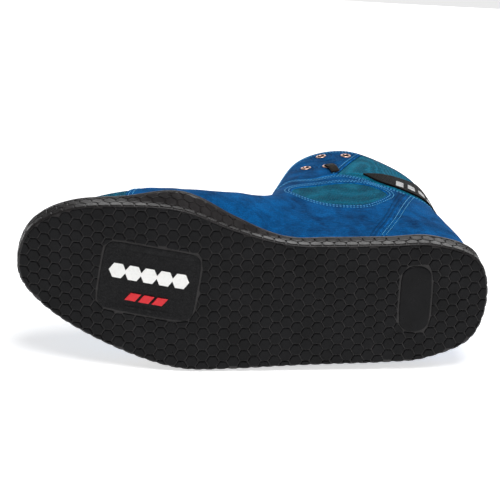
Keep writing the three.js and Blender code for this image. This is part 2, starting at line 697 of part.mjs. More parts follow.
// A flat lace through a row of { point, up } places: up is the way its outer face looks.
function ribbon(places, width) {
  return plate((a, b, face) => {
    const last = places.length - 1;
    const i = Math.min(last, Math.round(a * last));
    const { point, up } = places[i];
    const behindIt = places[Math.max(0, i - 1)].point;
    const ahead = places[Math.min(last, i + 1)].point.clone().sub(behindIt).normalize();
    const across = up.clone().cross(ahead).normalize();
    return point.clone().addScaledVector(across, (b - 0.5) * width).addScaledVector(up, face * laceThickness);
  }, places.length - 1, 1);
}

const flangeRelief = 0.08; // a wider flange stands further into the lace's bend
const laceOffset = flangeHigh + clearance * 2 + eyeletFlange * flangeRelief;
const laceLift = laceThickness + clearance;
const lacePull = 0.42; // how far each end runs on before it bends over the tongue
const laceSteps = 8;

// A lace from one throat eyelet to another, in an arch over the tongue.
function crossLace(from, to, layer) {
  const [start, end] = [from, to].map((place) => offsetPoint(place.u, place.h, laceOffset));
  const [startUp, endUp] = [from, to].map((place) => upperNormal(place.u, place.h));
  const span = end.clone().sub(start);
  const reach = lacePull * span.length();
  const pull = (up, way) => span.clone().addScaledVector(up, -span.dot(up)).setLength(way * reach);
  const leaving = start.clone().add(pull(startUp, 1));
  const arriving = end.clone().add(pull(endUp, -1));
  const path = new THREE.CubicBezierCurve3(start, leaving, arriving, end);
  const middleUp = startUp.clone().add(endUp).normalize();
  const places = [];
  for (let k = 0; k <= laceSteps; k++) {
    const t = k / laceSteps;
    const point = path.getPoint(t).addScaledVector(middleUp, layer * Math.sin(t * Math.PI) * laceLift);
    places.push({ point, up: startUp.clone().lerp(endUp, t).normalize() });
  }
  return ribbon(places, laceWidth);
}

const [inner, outer] = [eyeletPlaces.medial.throat, eyeletPlaces.lateral.throat];
addPiece('lace_bar', crossLace(inner[0], outer[0], 0), 'lace');
addPiece('lace_cross_1', crossLace(inner[1], outer[2], 0), 'lace');
addPiece('lace_cross_2', crossLace(outer[1], inner[2], 2), 'lace');

// The ends hang out of one eyelet in each flap, down to the quarter's topline.
sides.forEach(([word, side]) => {
  const [y, z] = flapEyelets[1];
  const places = [];
  for (let k = 0; k <= laceSteps; k++) {
    const t = k / laceSteps;
    const place = placeOn(side, y + 2 * t, z + 2 - t * (z + 1 - quarterHeight - laceWidth / 2));
    places.push({ point: offsetPoint(place.u, place.h, laceOffset), up: upperNormal(place.u, place.h) });
  }
  addPiece(`lace_end_${word}`, ribbon(places, laceWidth), 'lace');
});

export default boot;
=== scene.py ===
import math
import bpy
import numpy as np
from mathutils import Matrix, Vector


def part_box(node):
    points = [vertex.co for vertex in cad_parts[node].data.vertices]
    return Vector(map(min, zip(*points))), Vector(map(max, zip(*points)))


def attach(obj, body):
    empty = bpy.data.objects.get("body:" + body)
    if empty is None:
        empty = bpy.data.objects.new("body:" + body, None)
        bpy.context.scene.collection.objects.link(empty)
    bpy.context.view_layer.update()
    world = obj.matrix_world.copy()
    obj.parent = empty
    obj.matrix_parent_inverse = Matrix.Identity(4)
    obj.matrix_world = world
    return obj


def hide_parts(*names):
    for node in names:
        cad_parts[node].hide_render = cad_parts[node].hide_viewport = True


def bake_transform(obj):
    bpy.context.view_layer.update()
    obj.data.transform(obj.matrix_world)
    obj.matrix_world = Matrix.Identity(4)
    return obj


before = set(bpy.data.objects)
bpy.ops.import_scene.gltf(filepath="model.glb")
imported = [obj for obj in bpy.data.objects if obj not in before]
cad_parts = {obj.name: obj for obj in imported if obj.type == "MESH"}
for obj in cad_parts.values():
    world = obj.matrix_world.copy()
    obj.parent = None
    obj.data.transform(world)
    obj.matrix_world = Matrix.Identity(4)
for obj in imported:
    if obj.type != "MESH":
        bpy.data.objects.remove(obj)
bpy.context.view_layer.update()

# A right boxing boot: toe towards -Y, inner side towards +X, sole at z = 0. The floor and the camera
# are turned so that it is seen lying on its outer side. The shape is worked out in millimetres and
# turned into metres where each mesh is made.
mm = 0.001

# ---- camera, lights and the surface it lies on

view = {"place": (0.3988, -0.1175, -1.0081), "right": (0.0356, 0.9945, -0.0983),
        "up": (0.9403, 0.0, 0.3404), "forward": (-0.3385, 0.1045, 0.9351), "lens": 123.2}


def addCamera():
    lens = bpy.data.cameras.new("bootCamera")
    lens.lens = view["lens"]
    lens.sensor_width = 36
    lens.clip_start = 0.01
    camera = bpy.data.objects.new("bootCamera", lens)
    right, up, forward = (Vector(view[key]).normalized() for key in ("right", "up", "forward"))
    turn = Matrix((right, up, -forward)).transposed().to_4x4()
    camera.matrix_world = Matrix.Translation(view["place"]) @ turn
    bpy.context.collection.objects.link(camera)
    bpy.context.scene.camera = camera


def addLight(name, place, target, size, power):
    light = bpy.data.lights.new(name, "AREA")
    light.shape = "DISK"
    light.size = size
    light.energy = power
    lamp = bpy.data.objects.new(name, light)
    lamp.location = place
    lamp.rotation_euler = (Vector(target) - Vector(place)).to_track_quat("-Z", "Y").to_euler()
    bpy.context.collection.objects.link(lamp)


def addStage():
    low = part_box("outsole")[0]
    size = 9.0
    x = low.x - 0.001
    corners = [(x, -size, -size), (x, size, -size), (x, size, size), (x, -size, size)]
    mesh = bpy.data.meshes.new("stageFloor")
    mesh.from_pydata(corners, [], [(0, 1, 2, 3)])
    floor = bpy.data.objects.new("stageFloor", mesh)
    bpy.context.collection.objects.link(floor)
    look = bpy.data.materials.new("stageWhite")
    look.use_nodes = True
    nodes, links = look.node_tree.nodes, look.node_tree.links
    nodes.clear()
    out = nodes.new("ShaderNodeOutputMaterial")
    paper = nodes.new("ShaderNodeBsdfDiffuse")
    paper.inputs["Color"].default_value = (0.93, 0.93, 0.94, 1)
    glow = nodes.new("ShaderNodeEmission")
    glow.inputs["Strength"].default_value = 0.62
    both = nodes.new("ShaderNodeAddShader")
    clear = nodes.new("ShaderNodeBsdfTransparent")
    side = nodes.new("ShaderNodeNewGeometry")
    pick = nodes.new("ShaderNodeMixShader")
    links.new(paper.outputs[0], both.inputs[0])
    links.new(glow.outputs[0], both.inputs[1])
    links.new(side.outputs["Backfacing"], pick.inputs[0])
    links.new(both.outputs[0], pick.inputs[1])
    links.new(clear.outputs[0], pick.inputs[2])
    links.new(pick.outputs[0], out.inputs[0])
    mesh.materials.append(look)


def addWorld():
    world = bpy.data.worlds.new("softStudio")
    world.use_nodes = True
    nodes, links = world.node_tree.nodes, world.node_tree.links
    back = nodes["Background"]
    back.inputs["Color"].default_value = (1, 1, 1, 1)
    path = nodes.new("ShaderNodeLightPath")
    level = nodes.new("ShaderNodeMapRange")
    level.inputs["To Min"].default_value = 0.09
    level.inputs["To Max"].default_value = 1.0
    links.new(path.outputs["Is Camera Ray"], level.inputs["Value"])
    links.new(level.outputs["Result"], back.inputs["Strength"])
    bpy.context.scene.world = world
    bpy.context.scene.view_settings.view_transform = "Standard"


addCamera()
addStage()
addWorld()
addLight("keyOverhead", (0.9, 0.1, -0.3), (0, 0, 0.06), 0.7, 9)
addLight("fillFront", (0.35, -0.7, -0.9), (0, 0, 0.05), 0.7, 1)
addLight("fillHeel", (0.5, 0.9, -0.4), (0, 0.05, 0.08), 0.7, 1.6)
addLight("topUpright", (0.3, 0.2, 1.1), (0, 0, 0.05), 0.9, 3.5)
print("camera and stage ready")

# ---- the boot's surface

bootSize = {"length": 302, "ballWidth": 113, "height": 182, "toeSpring": 22, "flexLine": -20,
            "toeBox": 56, "ball": 71, "instep": 84, "throat": 112, "quarter": 128, "counter": 102,
            "heelCollar": 146, "floor": 4.5, "wall": 2.8, "suede": 1.4, "gap": 0.3, "midsole": 5,
            "toeWall": 26, "ballWall": 28, "archWall": 16, "heelWall": 20}
halfLength = bootSize["length"] / 2
halfWidth = bootSize["ballWidth"] / 2

# Stations run from the toe tip to the back of the heel, in shares of the half width and half length.
innerEdge = [(0.35, -1), (0.75, -0.94), (1, -0.78), (1.08, -0.56), (1.06, -0.32), (0.83, -0.09),
             (0.67, 0.13), (0.65, 0.33), (0.66, 0.56), (0.66, 0.76), (0.47, 0.95), (0, 1)]
outerEdge = [(0.35, -1), (0.02, -0.967), (-0.32, -0.82), (-0.64, -0.58), (-0.85, -0.33), (-0.86, -0.1),
             (-0.83, 0.13), (-0.81, 0.34), (-0.79, 0.58), (-0.74, 0.75), (-0.5, 0.94), (0, 1)]
stations = len(innerEdge) - 1
around = 2 * stations


def loopRows(inner, outer):
    return np.array(inner + outer[-2:0:-1], float)


def topRows():
    b = bootSize
    return [(0.34, 0, -0.77, b["toeBox"]), (0.32, 0, -0.74, b["toeBox"] + 1),
            (0.27, 0, -0.65, b["toeBox"] + 3), (0.2, 0, -0.48, b["ball"] - 7),
            (0.13, 0, -0.28, b["ball"]), (0.08, 0.27, -0.08, b["instep"]),
            (0.03, 0.46, 0.12, b["throat"]), (0, 0.65, 0.31, b["height"] - 6),
            (0, 0.78, 0.515, b["height"]), (0, 0.7, 0.7, b["height"] - 11),
            (0, 0.48, 0.865, b["heelCollar"] + 8), (0, 0, 0.96, b["heelCollar"])]


rise = [(0, -3, 14), (2, -2, 15), (3, 0, 18), (3, 0, 22), (1, 0, 28), (0, 0, 32),
        (5, 0, 42), (10, 0, 55), (8, 0, 55), (5, 1, 50), (2, 4, 42), (0, 5, 40)]
arrive = [(0, -18, 0), (14, -12, 0), (26, -4, 0), (29, 0, -1), (26, 4, -4), (20, 10, -14),
          (12, 8, -34), (6, 0, -55), (0, -2, -60), (1, -3, -55), (-1, -6, -48), (0, -9, -48)]


# Over the ball and the inner arch the foot bulges past the sole: outward pulls on the inner side only.
innerSwell = [(0, 0), (0, 2), (-4, 16), (-1, 30), (14, 22), (20, 18), (3, 16), (0, 2)] + 4 * [(0, 0)]


def sided(rows, place, swells=(0,) * 12):
    return loopRows([place(row, 1, swell) for row, swell in zip(rows, swells)],
                    [place(row, -1, 0) for row in rows])


edgeLoop = loopRows(innerEdge, outerEdge)
topLoop = sided(topRows(), lambda r, s, e: (r[0] * halfWidth, s * r[1] * halfWidth, r[2] * halfLength, r[3]))
riseLoop = sided(rise, lambda r, s, e: (s * r[0] + e, r[1], r[2]), [low for low, _ in innerSwell])
arriveLoop = sided(arrive, lambda r, s, e: (s * r[0] + e, r[1], r[2]), [high for _, high in innerSwell])


def rowAt(rows, u):
    count = len(rows)
    wrapped = np.mod(u, count)
    i = np.floor(wrapped).astype(int) % count
    t = (wrapped - np.floor(wrapped))[..., None]
    a, b, c, d = (rows[(i + step) % count] for step in (-1, 0, 1, 2))
    return b + 0.5 * t * (c - a + t * (2 * a - 5 * b + 4 * c - d + t * (3 * (b - c) + d - a)))


def toeLift(y):
    flex = bootSize["flexLine"]
    return bootSize["toeSpring"] * np.maximum(0, (flex - y) / (halfLength + flex)) ** 1.9


def edgePoint(u, inset=0.0):
    scale = np.array((halfWidth, halfLength))
    along = (rowAt(edgeLoop, u + 0.02) - rowAt(edgeLoop, u - 0.02)) * scale
    along /= np.linalg.norm(along, axis=-1, keepdims=True)
    inward = np.stack((-along[..., 1], along[..., 0]), -1)
    return rowAt(edgeLoop, u) * scale + inward * np.asarray(inset)[..., None]


def solePoint(u, inset, height):
    p = edgePoint(u, inset)
    return np.column_stack((p, np.broadcast_to(height, p.shape[:-1]) + toeLift(p[..., 1])))


featherInset = bootSize["wall"] + 2 * bootSize["gap"] + bootSize["suede"]
featherHeight = bootSize["floor"] + 2 * bootSize["gap"] + bootSize["midsole"]


def topPoint(u):
    x, half, y, z = rowAt(topLoop, u).T
    inner = np.mod(u, around) <= stations
    half = np.where(inner, np.maximum(0, half), np.minimum(0, half))
    return np.column_stack((x + half, y, z)), np.abs(half)


def upperPoint(u, h):
    u, h = np.broadcast_arrays(np.asarray(u, float), np.asarray(h, float))
    u, h = u.ravel(), h.ravel()[:, None]
    foot = solePoint(u, featherInset, featherHeight)
    top = topPoint(u)[0]
    g = 1 - h
    return (foot * g ** 3 + (foot + rowAt(riseLoop, u)) * 3 * g * g * h
            + (top + rowAt(arriveLoop, u)) * 3 * g * h * h + top * h ** 3)


def unit(rows):
    return rows / np.maximum(np.linalg.norm(rows, axis=-1, keepdims=True), 1e-9)


def upperNormal(u, h):
    low = np.minimum(h, 0.94)
    along = upperPoint(u + 0.01, low) - upperPoint(u - 0.01, low)
    up = upperPoint(u, low + 0.01) - upperPoint(u, low - 0.01)
    return unit(np.cross(along, up))


def offsetPoint(u, h, offset):
    return upperPoint(u, h) + upperNormal(u, h) * np.asarray(offset)[..., None]


def bisect(measure, low, high, target):
    low, high = np.array(low, float), np.array(high, float)
    for _ in range(26):
        middle = (low + high) / 2
        under = measure(middle) < target
        low = np.where(under, middle, low)
        high = np.where(under, high, middle)
    return low


def shareAt(u, height):
    u = np.atleast_1d(np.asarray(u, float))
    return bisect(lambda h: upperPoint(u, h)[:, 2], np.zeros(len(u)), np.ones(len(u)), height)


def stationU(side, station):
    return station if side > 0 else around - station


def placeOn(side, y, z):
    # u and h of the point on one side of the boot that lies at y and z
    y, z = np.atleast_1d(np.asarray(y, float)), np.atleast_1d(np.asarray(z, float))

    def yOf(station):
        u = stationU(side, station)
        return upperPoint(u, shareAt(u, z))[:, 1]

    station = bisect(yOf, np.zeros(len(y)), np.full(len(y), float(stations)), y)
    u = stationU(side, station)
    return u, shareAt(u, z)


# ---- seam lines, in y and z

def yAt(share):
    return share * halfLength


def smoothLine(points, steps=10):
    p = np.array(points, float)
    padded = np.vstack((p[:1], p, p[-1:]))
    t = np.arange(0, len(p) - 1, 1 / steps)
    i = np.floor(t + 1e-9).astype(int)
    f = (t - i)[:, None]
    a, b, c, d = (padded[i + k] for k in range(4))
    line = b + 0.5 * f * (c - a + f * (2 * a - 5 * b + 4 * c - d + f * (3 * (b - c) + d - a)))
    return np.vstack((line, p[-1:]))


q, c, t = bootSize["quarter"], bootSize["counter"], bootSize["throat"]
topSeam = smoothLine([(yAt(-0.9), t + 9), (yAt(-0.3), t + 9), (yAt(0.12), t + 9), (yAt(0.31), q - 7),
                      (yAt(0.45), q), (yAt(0.56), q - 7), (yAt(0.65), c + 6), (yAt(0.77), c),
                      (yAt(0.92), c + 3), (yAt(1.2), c + 4)])
counterSeam = smoothLine([(yAt(0.48), -30), (yAt(0.52), bootSize["archWall"]), (yAt(0.63), c / 2),
                          (yAt(0.76), c), (yAt(0.9), q + 30)])
vampSeam = smoothLine([(yAt(-0.54), -30), (yAt(-0.55), bootSize["ballWall"]),
                       (yAt(-0.47), bootSize["ball"] - 12), (yAt(-0.36), bootSize["ball"] + 4),
                       (yAt(-0.3), bootSize["ball"] + 40)])
toeSeam = smoothLine([(yAt(-0.67), -30), (yAt(-0.68), bootSize["ballWall"] + 5),
                      (yAt(-0.7), bootSize["toeBox"] - 4), (yAt(-0.71), bootSize["toeBox"] + 40)])
hinge = {"y": 70, "z": q + 3, "lean": 0.53}
flapSeam = np.array([(hinge["y"] + hinge["lean"] * (z - hinge["z"]), z) for z in (hinge["z"] - 60, 260)])
window = {"front": 32, "foot": 70, "length": 66, "height": 40}
windowLeaf = [(0, 0.45), (0.06, 0.7), (0.34, 0.93), (0.62, 1), (0.86, 0.88), (1, 0.53), (0.82, 0.15),
              (0.64, 0), (0.3, 0.1)]
windowLine = smoothLine([(window["front"] + a * window["length"], window["foot"] + b * window["height"])
                         for a, b in windowLeaf + windowLeaf[:1]])
bandLower = smoothLine([(yAt(0.585), q - 4), (yAt(0.65), c + 9), (yAt(0.77), c + 3), (yAt(0.92), c + 6),
                        (yAt(1.2), c + 6)])
hc = bootSize["heelCollar"]
bandUpper = smoothLine([(yAt(0.585), q - 1), (yAt(0.69), q + 4), (yAt(0.78), hc - 8), (yAt(0.86), hc + 1),
                        (yAt(0.95), hc - 3), (yAt(1.2), hc - 3)])


def nearest(line, y, z):
    # signed distance to a line (positive on its left) and the direction away from it
    best = np.full(len(y), 1e9)
    sign, gy, gz = np.ones(len(y)), np.zeros(len(y)), np.zeros(len(y))
    for (ay, az), (by, bz) in zip(line[:-1], line[1:]):
        dy, dz = by - ay, bz - az
        k = np.clip(((y - ay) * dy + (z - az) * dz) / (dy * dy + dz * dz + 1e-12), 0, 1)
        ry, rz = y - ay - k * dy, z - az - k * dz
        distance = np.hypot(ry, rz)
        closer = distance < best
        best = np.where(closer, distance, best)
        sign = np.where(closer, np.where(dy * rz - dz * ry >= 0, 1.0, -1.0), sign)
        gy, gz = np.where(closer, ry, gy), np.where(closer, rz, gz)
    length = np.maximum(best, 1e-9)
    return best * sign, gy / length, gz / length


def leftOf(line, side=1, grow=0.0):
    # distance along the surface to a seam, positive on the side that is kept
    def field(skin):
        d, gy, gz = nearest(line, skin[:, 1], skin[:, 2])
        lean = gy * skin[:, 4] + gz * skin[:, 5]
        return side * d / np.sqrt(np.maximum(1 - lean ** 2, 0.05)) + grow
    return field


def onSide(side):
    return lambda skin: side * skin[:, 0] * 3 + 0.3


def belowTop(grow=0.0):
    return lambda skin: skin[:, 6] + grow


# ---- skins: pieces of the boot's surface. A row holds place, normal and distance to the top edge.

def wholeSkin(columns=440, rows=88):
    u = np.arange(columns) / columns * around
    h = np.linspace(0, 1, rows + 1)
    points = upperPoint(np.repeat(u, rows + 1), np.tile(h, columns))
    opening = topPoint(u)[1]
    index = np.arange(columns * (rows + 1)).reshape(columns, rows + 1)
    for i in range(columns // 2 + 1, columns):
        if opening[i] < 1e-6:
            index[i, rows] = index[columns - i, rows]
    nextColumn = np.roll(index, -1, 0)
    quads = np.stack((index[:, :-1], nextColumn[:, :-1], nextColumn[:, 1:], index[:, 1:]), -1).reshape(-1, 4)
    normals = np.zeros_like(points)
    cross = np.cross(points[quads[:, 2]] - points[quads[:, 0]], points[quads[:, 3]] - points[quads[:, 1]])
    for k in range(4):
        np.add.at(normals, quads[:, k], cross)
    grid = points.reshape(columns, rows + 1, 3)
    steps = np.linalg.norm(np.diff(grid, axis=1), axis=2)
    toTop = np.concatenate((np.cumsum(steps[:, ::-1], 1)[:, ::-1], np.zeros((columns, 1))), 1)
    toTop = np.where(opening[:, None] < 0.4, 60.0, toTop)
    return np.column_stack((points, unit(normals), toTop.reshape(-1, 1))), [tuple(f) for f in quads.tolist()]


def compact(data, faces):
    used = sorted({i for face in faces for i in face})
    order = {old: new for new, old in enumerate(used)}
    return data[used], [tuple(order[i] for i in face) for face in faces]


def cutSkin(skin, field, both=False):
    # keeps where the field is positive; with both, the line is only scored into the skin
    data, faces = skin
    value = field(data)
    value = np.where(np.abs(value) < 0.02, 0.02, value)
    positive = value > 0
    added, kept, known = [], [], {}

    def crossing(i, j):
        key = (i, j) if i < j else (j, i)
        if key not in known:
            k = value[i] / (value[i] - value[j])
            known[key] = len(data) + len(added)
            added.append(data[i] * (1 - k) + data[j] * k)
        return known[key]

    for face in faces:
        inside = [positive[i] for i in face]
        if all(inside):
            kept.append(face)
        elif not any(inside):
            if both:
                kept.append(face)
        else:
            parts = {True: [], False: []}
            for k, i in enumerate(face):
                j = face[(k + 1) % len(face)]
                parts[inside[k]].append(i)
                if inside[k] != inside[(k + 1) % len(face)]:
                    corner = crossing(i, j)
                    parts[True].append(corner)
                    parts[False].append(corner)
            kept.append(tuple(parts[True]))
            if both:
                kept.append(tuple(parts[False]))
    if added:
        data = np.vstack((data, added))
        data[:, 3:6] = unit(data[:, 3:6])
    return compact(data, [face for face in kept if len(face) > 2])


def edgeOf(data, fields):
    return np.min([field(data) for field in fields], axis=0)


def panel(skin, fields, rounding=(0.3, 0.9)):
    # a piece of skin cut along its fields, scored beside each edge so that the edge can be rounded
    for field in fields:
        skin = cutSkin(skin, field)
    for depth in rounding:
        skin = cutSkin(skin, lambda data: edgeOf(data, fields) - depth, both=True)
    return skin


def thicken(skin, fields, low, high, round=0.9):
    # a closed body round the skin: low and high are offsets in mm, numbers or functions of the edge distance
    data, faces = skin
    edge = np.maximum(edgeOf(data, fields), 0)
    count = {}
    for face in faces:
        for k, i in enumerate(face):
            j = face[(k + 1) % len(face)]
            key = (i, j) if i < j else (j, i)
            count[key] = count.get(key, 0) + 1
    rim = np.zeros(len(data), bool)
    for (i, j), uses in count.items():
        if uses == 1:
            rim[i] = rim[j] = True
    low = low(edge, data) if callable(low) else np.full(len(data), float(low))
    high = high(edge, data) if callable(high) else np.full(len(data), float(high))
    profile = np.sqrt(1 - (1 - np.clip(edge / round, 0, 1)) ** 2)
    profile[rim] = 0
    middle, half = (low + high) / 2, (high - low) / 2 * profile
    outer = data[:, :3] + data[:, 3:6] * (middle + half)[:, None]
    inner = data[:, :3] + data[:, 3:6] * (middle - half)[:, None]
    index = np.where(rim, np.arange(len(data)), 0)
    index[~rim] = len(data) + np.arange((~rim).sum())
    points = np.vstack((outer, inner[~rim]))
    back = [tuple(int(index[i]) for i in reversed(face)) for face in faces]
    return points, faces + back, np.concatenate((edge, edge[~rim]))


# ---- pieces

def addPiece(name, points, faces, look, body, replaced=(), marks=None, smooth=True):
    mesh = bpy.data.meshes.new(name)
    mesh.from_pydata((np.asarray(points) * mm).tolist(), [], [tuple(f) for f in faces])
    mesh.polygons.foreach_set("use_smooth", [smooth] * len(mesh.polygons))
    for key, values in (marks or {}).items():
        mark = mesh.attributes.new(key, "FLOAT", "POINT")
        mark.data.foreach_set("value", np.asarray(values, np.float32))
    mesh.materials.append(look)
    mesh.update()
    piece = bpy.data.objects.new(name, mesh)
    bpy.context.collection.objects.link(piece)
    if body:
        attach(piece, body)
    if replaced:
        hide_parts(*replaced)
    return piece


# ---- finishes

class Finish:
    # a small helper that wires one material: every node is made where it is used
    def __init__(self, name, roughness=0.6, metallic=0.0, sheen=0.0, sheenTint=(1, 1, 1), specular=0.5):
        self.look = bpy.data.materials.new(name)
        self.look.use_nodes = True
        self.nodes, self.links = self.look.node_tree.nodes, self.look.node_tree.links
        self.shader = self.nodes["Principled BSDF"]
        self.shader.inputs["Roughness"].default_value = roughness
        self.shader.inputs["Metallic"].default_value = metallic
        self.shader.inputs["Specular IOR Level"].default_value = specular
        if sheen:
            self.shader.inputs["Sheen Weight"].default_value = sheen
            self.shader.inputs["Sheen Roughness"].default_value = 0.4
            self.shader.inputs["Sheen Tint"].default_value = (*sheenTint, 1)
        self.place = self.nodes.new("ShaderNodeTexCoord").outputs["Object"]
        self.height = None

    def math(self, kind, a, b=0.0, clamp=False):
        node = self.nodes.new("ShaderNodeMath")
        node.operation = kind
        node.use_clamp = clamp
        for socket, value in zip(node.inputs, (a, b)):
            if hasattr(value, "links"):
                self.links.new(value, socket)
            else:
                socket.default_value = value
        return node.outputs[0]

    def stretched(self, scale, turn=(0, 0, 0)):
        node = self.nodes.new("ShaderNodeMapping")
        node.inputs["Scale"].default_value = scale
        node.inputs["Rotation"].default_value = turn
        self.links.new(self.place, node.inputs["Vector"])
        return node.outputs[0]

    def noise(self, size, detail=3.0, distortion=0.0, place=None):
        node = self.nodes.new("ShaderNodeTexNoise")
        node.inputs["Scale"].default_value = 1000 / size
        node.inputs["Detail"].default_value = detail
        node.inputs["Distortion"].default_value = distortion
        self.links.new(place or self.place, node.inputs["Vector"])
        return node.outputs[0]

    def cells(self, size, feature="F1", place=None, jitter=1.0):
        node = self.nodes.new("ShaderNodeTexVoronoi")
        node.feature = feature
        node.inputs["Scale"].default_value = 1000 / size
        node.inputs["Randomness"].default_value = jitter
        self.links.new(place or self.place, node.inputs["Vector"])
        return node.outputs["Distance"]

    def bands(self, size, direction="X", distortion=0.0, place=None, detailSize=2.0):
        node = self.nodes.new("ShaderNodeTexWave")
        node.bands_direction = direction
        node.inputs["Scale"].default_value = 1000 / size / 3.183
        node.inputs["Distortion"].default_value = distortion
        node.inputs["Detail Scale"].default_value = detailSize
        self.links.new(place or self.place, node.inputs["Vector"])
        return node.outputs["Fac"]

    def mark(self, name):
        node = self.nodes.new("ShaderNodeAttribute")
        node.attribute_name = name
        return node.outputs["Fac"]

    def ramp(self, value, stops):
        node = self.nodes.new("ShaderNodeValToRGB")
        ramp = node.color_ramp
        while len(ramp.elements) < len(stops):
            ramp.elements.new(0.5)
        for element, (at, color) in zip(ramp.elements, stops):
            element.position = at
            element.color = (*color, 1) if hasattr(color, "__len__") else (color, color, color, 1)
        self.links.new(value, node.inputs[0])
        return node.outputs[0]

    def mix(self, amount, a, b, kind="MIX"):
        node = self.nodes.new("ShaderNodeMix")
        node.data_type = "RGBA"
        node.blend_type = kind
        for socket, value in ((node.inputs[0], amount), (node.inputs[6], a), (node.inputs[7], b)):
            if hasattr(value, "links"):
                self.links.new(value, socket)
            else:
                socket.default_value = (*value, 1) if hasattr(value, "__len__") else value
        return node.outputs[2]

    def color(self, value):
        self.links.new(value, self.shader.inputs["Base Color"])

    def rough(self, value):
        self.links.new(value, self.shader.inputs["Roughness"])

    def bump(self, height, distance, strength=1.0):
        node = self.nodes.new("ShaderNodeBump")
        node.inputs["Distance"].default_value = distance * mm
        node.inputs["Strength"].default_value = strength
        self.links.new(height, node.inputs["Height"])
        if self.height is not None:
            self.links.new(self.height, node.inputs["Normal"])
        self.height = node.outputs[0]
        self.links.new(self.height, self.shader.inputs["Normal"])


def band(f, value, middle, width):
    # 1 where the value lies within half a width of the middle, falling off smoothly
    away = f.math("ABSOLUTE", f.math("SUBTRACT", value, middle))
    return f.math("SUBTRACT", 1.0, f.math("DIVIDE", away, width), clamp=True)


def suedeFinish(name, deep, main, light):
    f = Finish(name, roughness=0.92, sheen=0.12, sheenTint=(0.05, 0.35, 0.9), specular=0.1)
    nap = f.noise(0.55, 5, 0.4)
    brushed = f.noise(1.6, 4, 0.8, place=f.stretched((1, 0.45, 1.4)))
    patches = f.noise(14, 3, 0.6)
    tone = f.ramp(patches, [(0.3, deep), (0.52, main), (0.78, light)])
    tone = f.mix(f.ramp(nap, [(0.38, 0.0), (0.68, 0.75)]), tone, tuple(0.45 * v for v in deep))
    tone = f.mix(f.ramp(brushed, [(0.5, 0.0), (0.75, 0.4)]), tone, light)
    edge = f.mark("edgeDistance")
    worn = f.math("MULTIPLY", band(f, edge, 0.25, 0.55), f.ramp(f.noise(2.5, 3), [(0.4, 0.1), (0.65, 0.8)]))
    tone = f.mix(worn, tone, tuple(min(1, 1.5 * v + 0.01) for v in light))
    creases = f.noise(9, 4, 1.2, place=f.stretched((1, 1, 0.5)))
    # Along the two stitch rows the colour is darkened: partly the darker pressed suede, partly painted shade
    # in the stitch grooves, which are only bumped in.
    grooves = f.math("MAXIMUM", band(f, edge, 2.2, 0.75), band(f, edge, 4.7, 0.75))
    tone = f.mix(f.math("MULTIPLY", grooves, 0.45), tone, tuple(0.4 * v for v in deep))
    f.color(tone)
    f.bump(nap, 0.22)
    f.bump(brushed, 0.3)
    f.bump(creases, 1.1)
    f.bump(f.math("MULTIPLY", grooves, -1), 0.45)
    return f.look


def meshFinish(name, thread, hole, light, cell=1.35, rib=3.4):
    f = Finish(name, roughness=0.75, sheen=0.04, sheenTint=(0.1, 0.6, 1), specular=0.06)
    weave = f.cells(cell, jitter=0.35, place=f.stretched((1, 1, 1.35)))
    ribs = f.bands(rib, "Z", 3.5, place=f.stretched((0.7, 0.7, 1), (0.25, 0.1, 0)), detailSize=1.6)
    patches = f.noise(18, 2)
    tone = f.ramp(weave, [(0.28, hole), (0.5, thread), (0.8, light)])
    tone = f.mix(f.ramp(ribs, [(0.25, 0.4), (0.7, 0.0)]), tone, tuple(0.5 * v for v in thread))
    tone = f.mix(f.ramp(patches, [(0.4, 0.0), (0.75, 0.25)]), tone, light)
    f.color(tone)
    f.bump(weave, 0.45)
    f.bump(ribs, 0.8)
    return f.look


def rubberFinish(name, low, high, rough, gloss, grain=0.5):
    f = Finish(name, specular=gloss)
    f.color(f.ramp(f.noise(22, 4, 0.3), [(0.35, low), (0.7, high)]))
    scuffs = f.noise(7, 5, 1.0)
    f.rough(f.ramp(scuffs, [(0.3, rough[0]), (0.7, rough[1])]))
    f.bump(f.noise(grain, 3), 0.06)
    f.bump(f.noise(5, 3), 0.12)
    return f.look


def grainFinish(name):
    f = Finish(name, specular=0.16)
    pebbles = f.cells(1.1)
    f.color(f.ramp(pebbles, [(0.1, (0.01, 0.01, 0.011)), (0.6, (0.0035, 0.0035, 0.004))]))
    f.rough(f.ramp(f.noise(3, 3), [(0.3, 0.5), (0.7, 0.72)]))
    f.bump(pebbles, -0.35)
    return f.look


def inkFinish(name, tone):
    f = Finish(name, roughness=0.5, specular=0.4)
    f.color(f.mix(f.ramp(f.noise(1.4, 4), [(0.45, 0.0), (0.8, 0.35)]), tone, tuple(0.7 * v for v in tone)))
    f.bump(f.noise(0.7, 3), 0.08)
    return f.look


def clothFinish(name, tone, light, thread=0.5):
    # plain woven cloth: two crossed rows of threads
    f = Finish(name, roughness=0.8, sheen=0.05, specular=0.12)
    warp = f.bands(thread, "Z")
    weft = f.bands(thread * 1.2, "Y")
    crossing = f.math("MULTIPLY", warp, weft)
    f.color(f.ramp(f.math("ADD", crossing, f.math("MULTIPLY", f.noise(6, 3), 0.5)),
                   [(0.15, tuple(0.35 * v for v in tone)), (0.5, tone), (1.0, light)]))
    f.bump(crossing, 0.16)
    return f.look


def tapeFinish(name, tone, light, rows=0.9):
    # flat woven tape with slanting ribs, from the marks along and across
    f = Finish(name, roughness=0.72, sheen=0.05, specular=0.15)
    along, across = f.mark("along"), f.mark("across")
    slant = f.math("ADD", along, f.math("ABSOLUTE", across))
    rib = f.math("SINE", f.math("MULTIPLY", slant, 2 * math.pi / rows))
    rows2 = f.math("SINE", f.math("MULTIPLY", across, 2 * math.pi / 0.8))
    woven = f.math("MULTIPLY", f.math("ADD", f.math("MULTIPLY", rib, 0.6), rows2), 0.5)
    f.color(f.ramp(f.math("ADD", f.math("MULTIPLY", woven, 0.5), 0.5), [(0.1, tone), (0.9, light)]))
    f.bump(woven, 0.22)
    return f.look


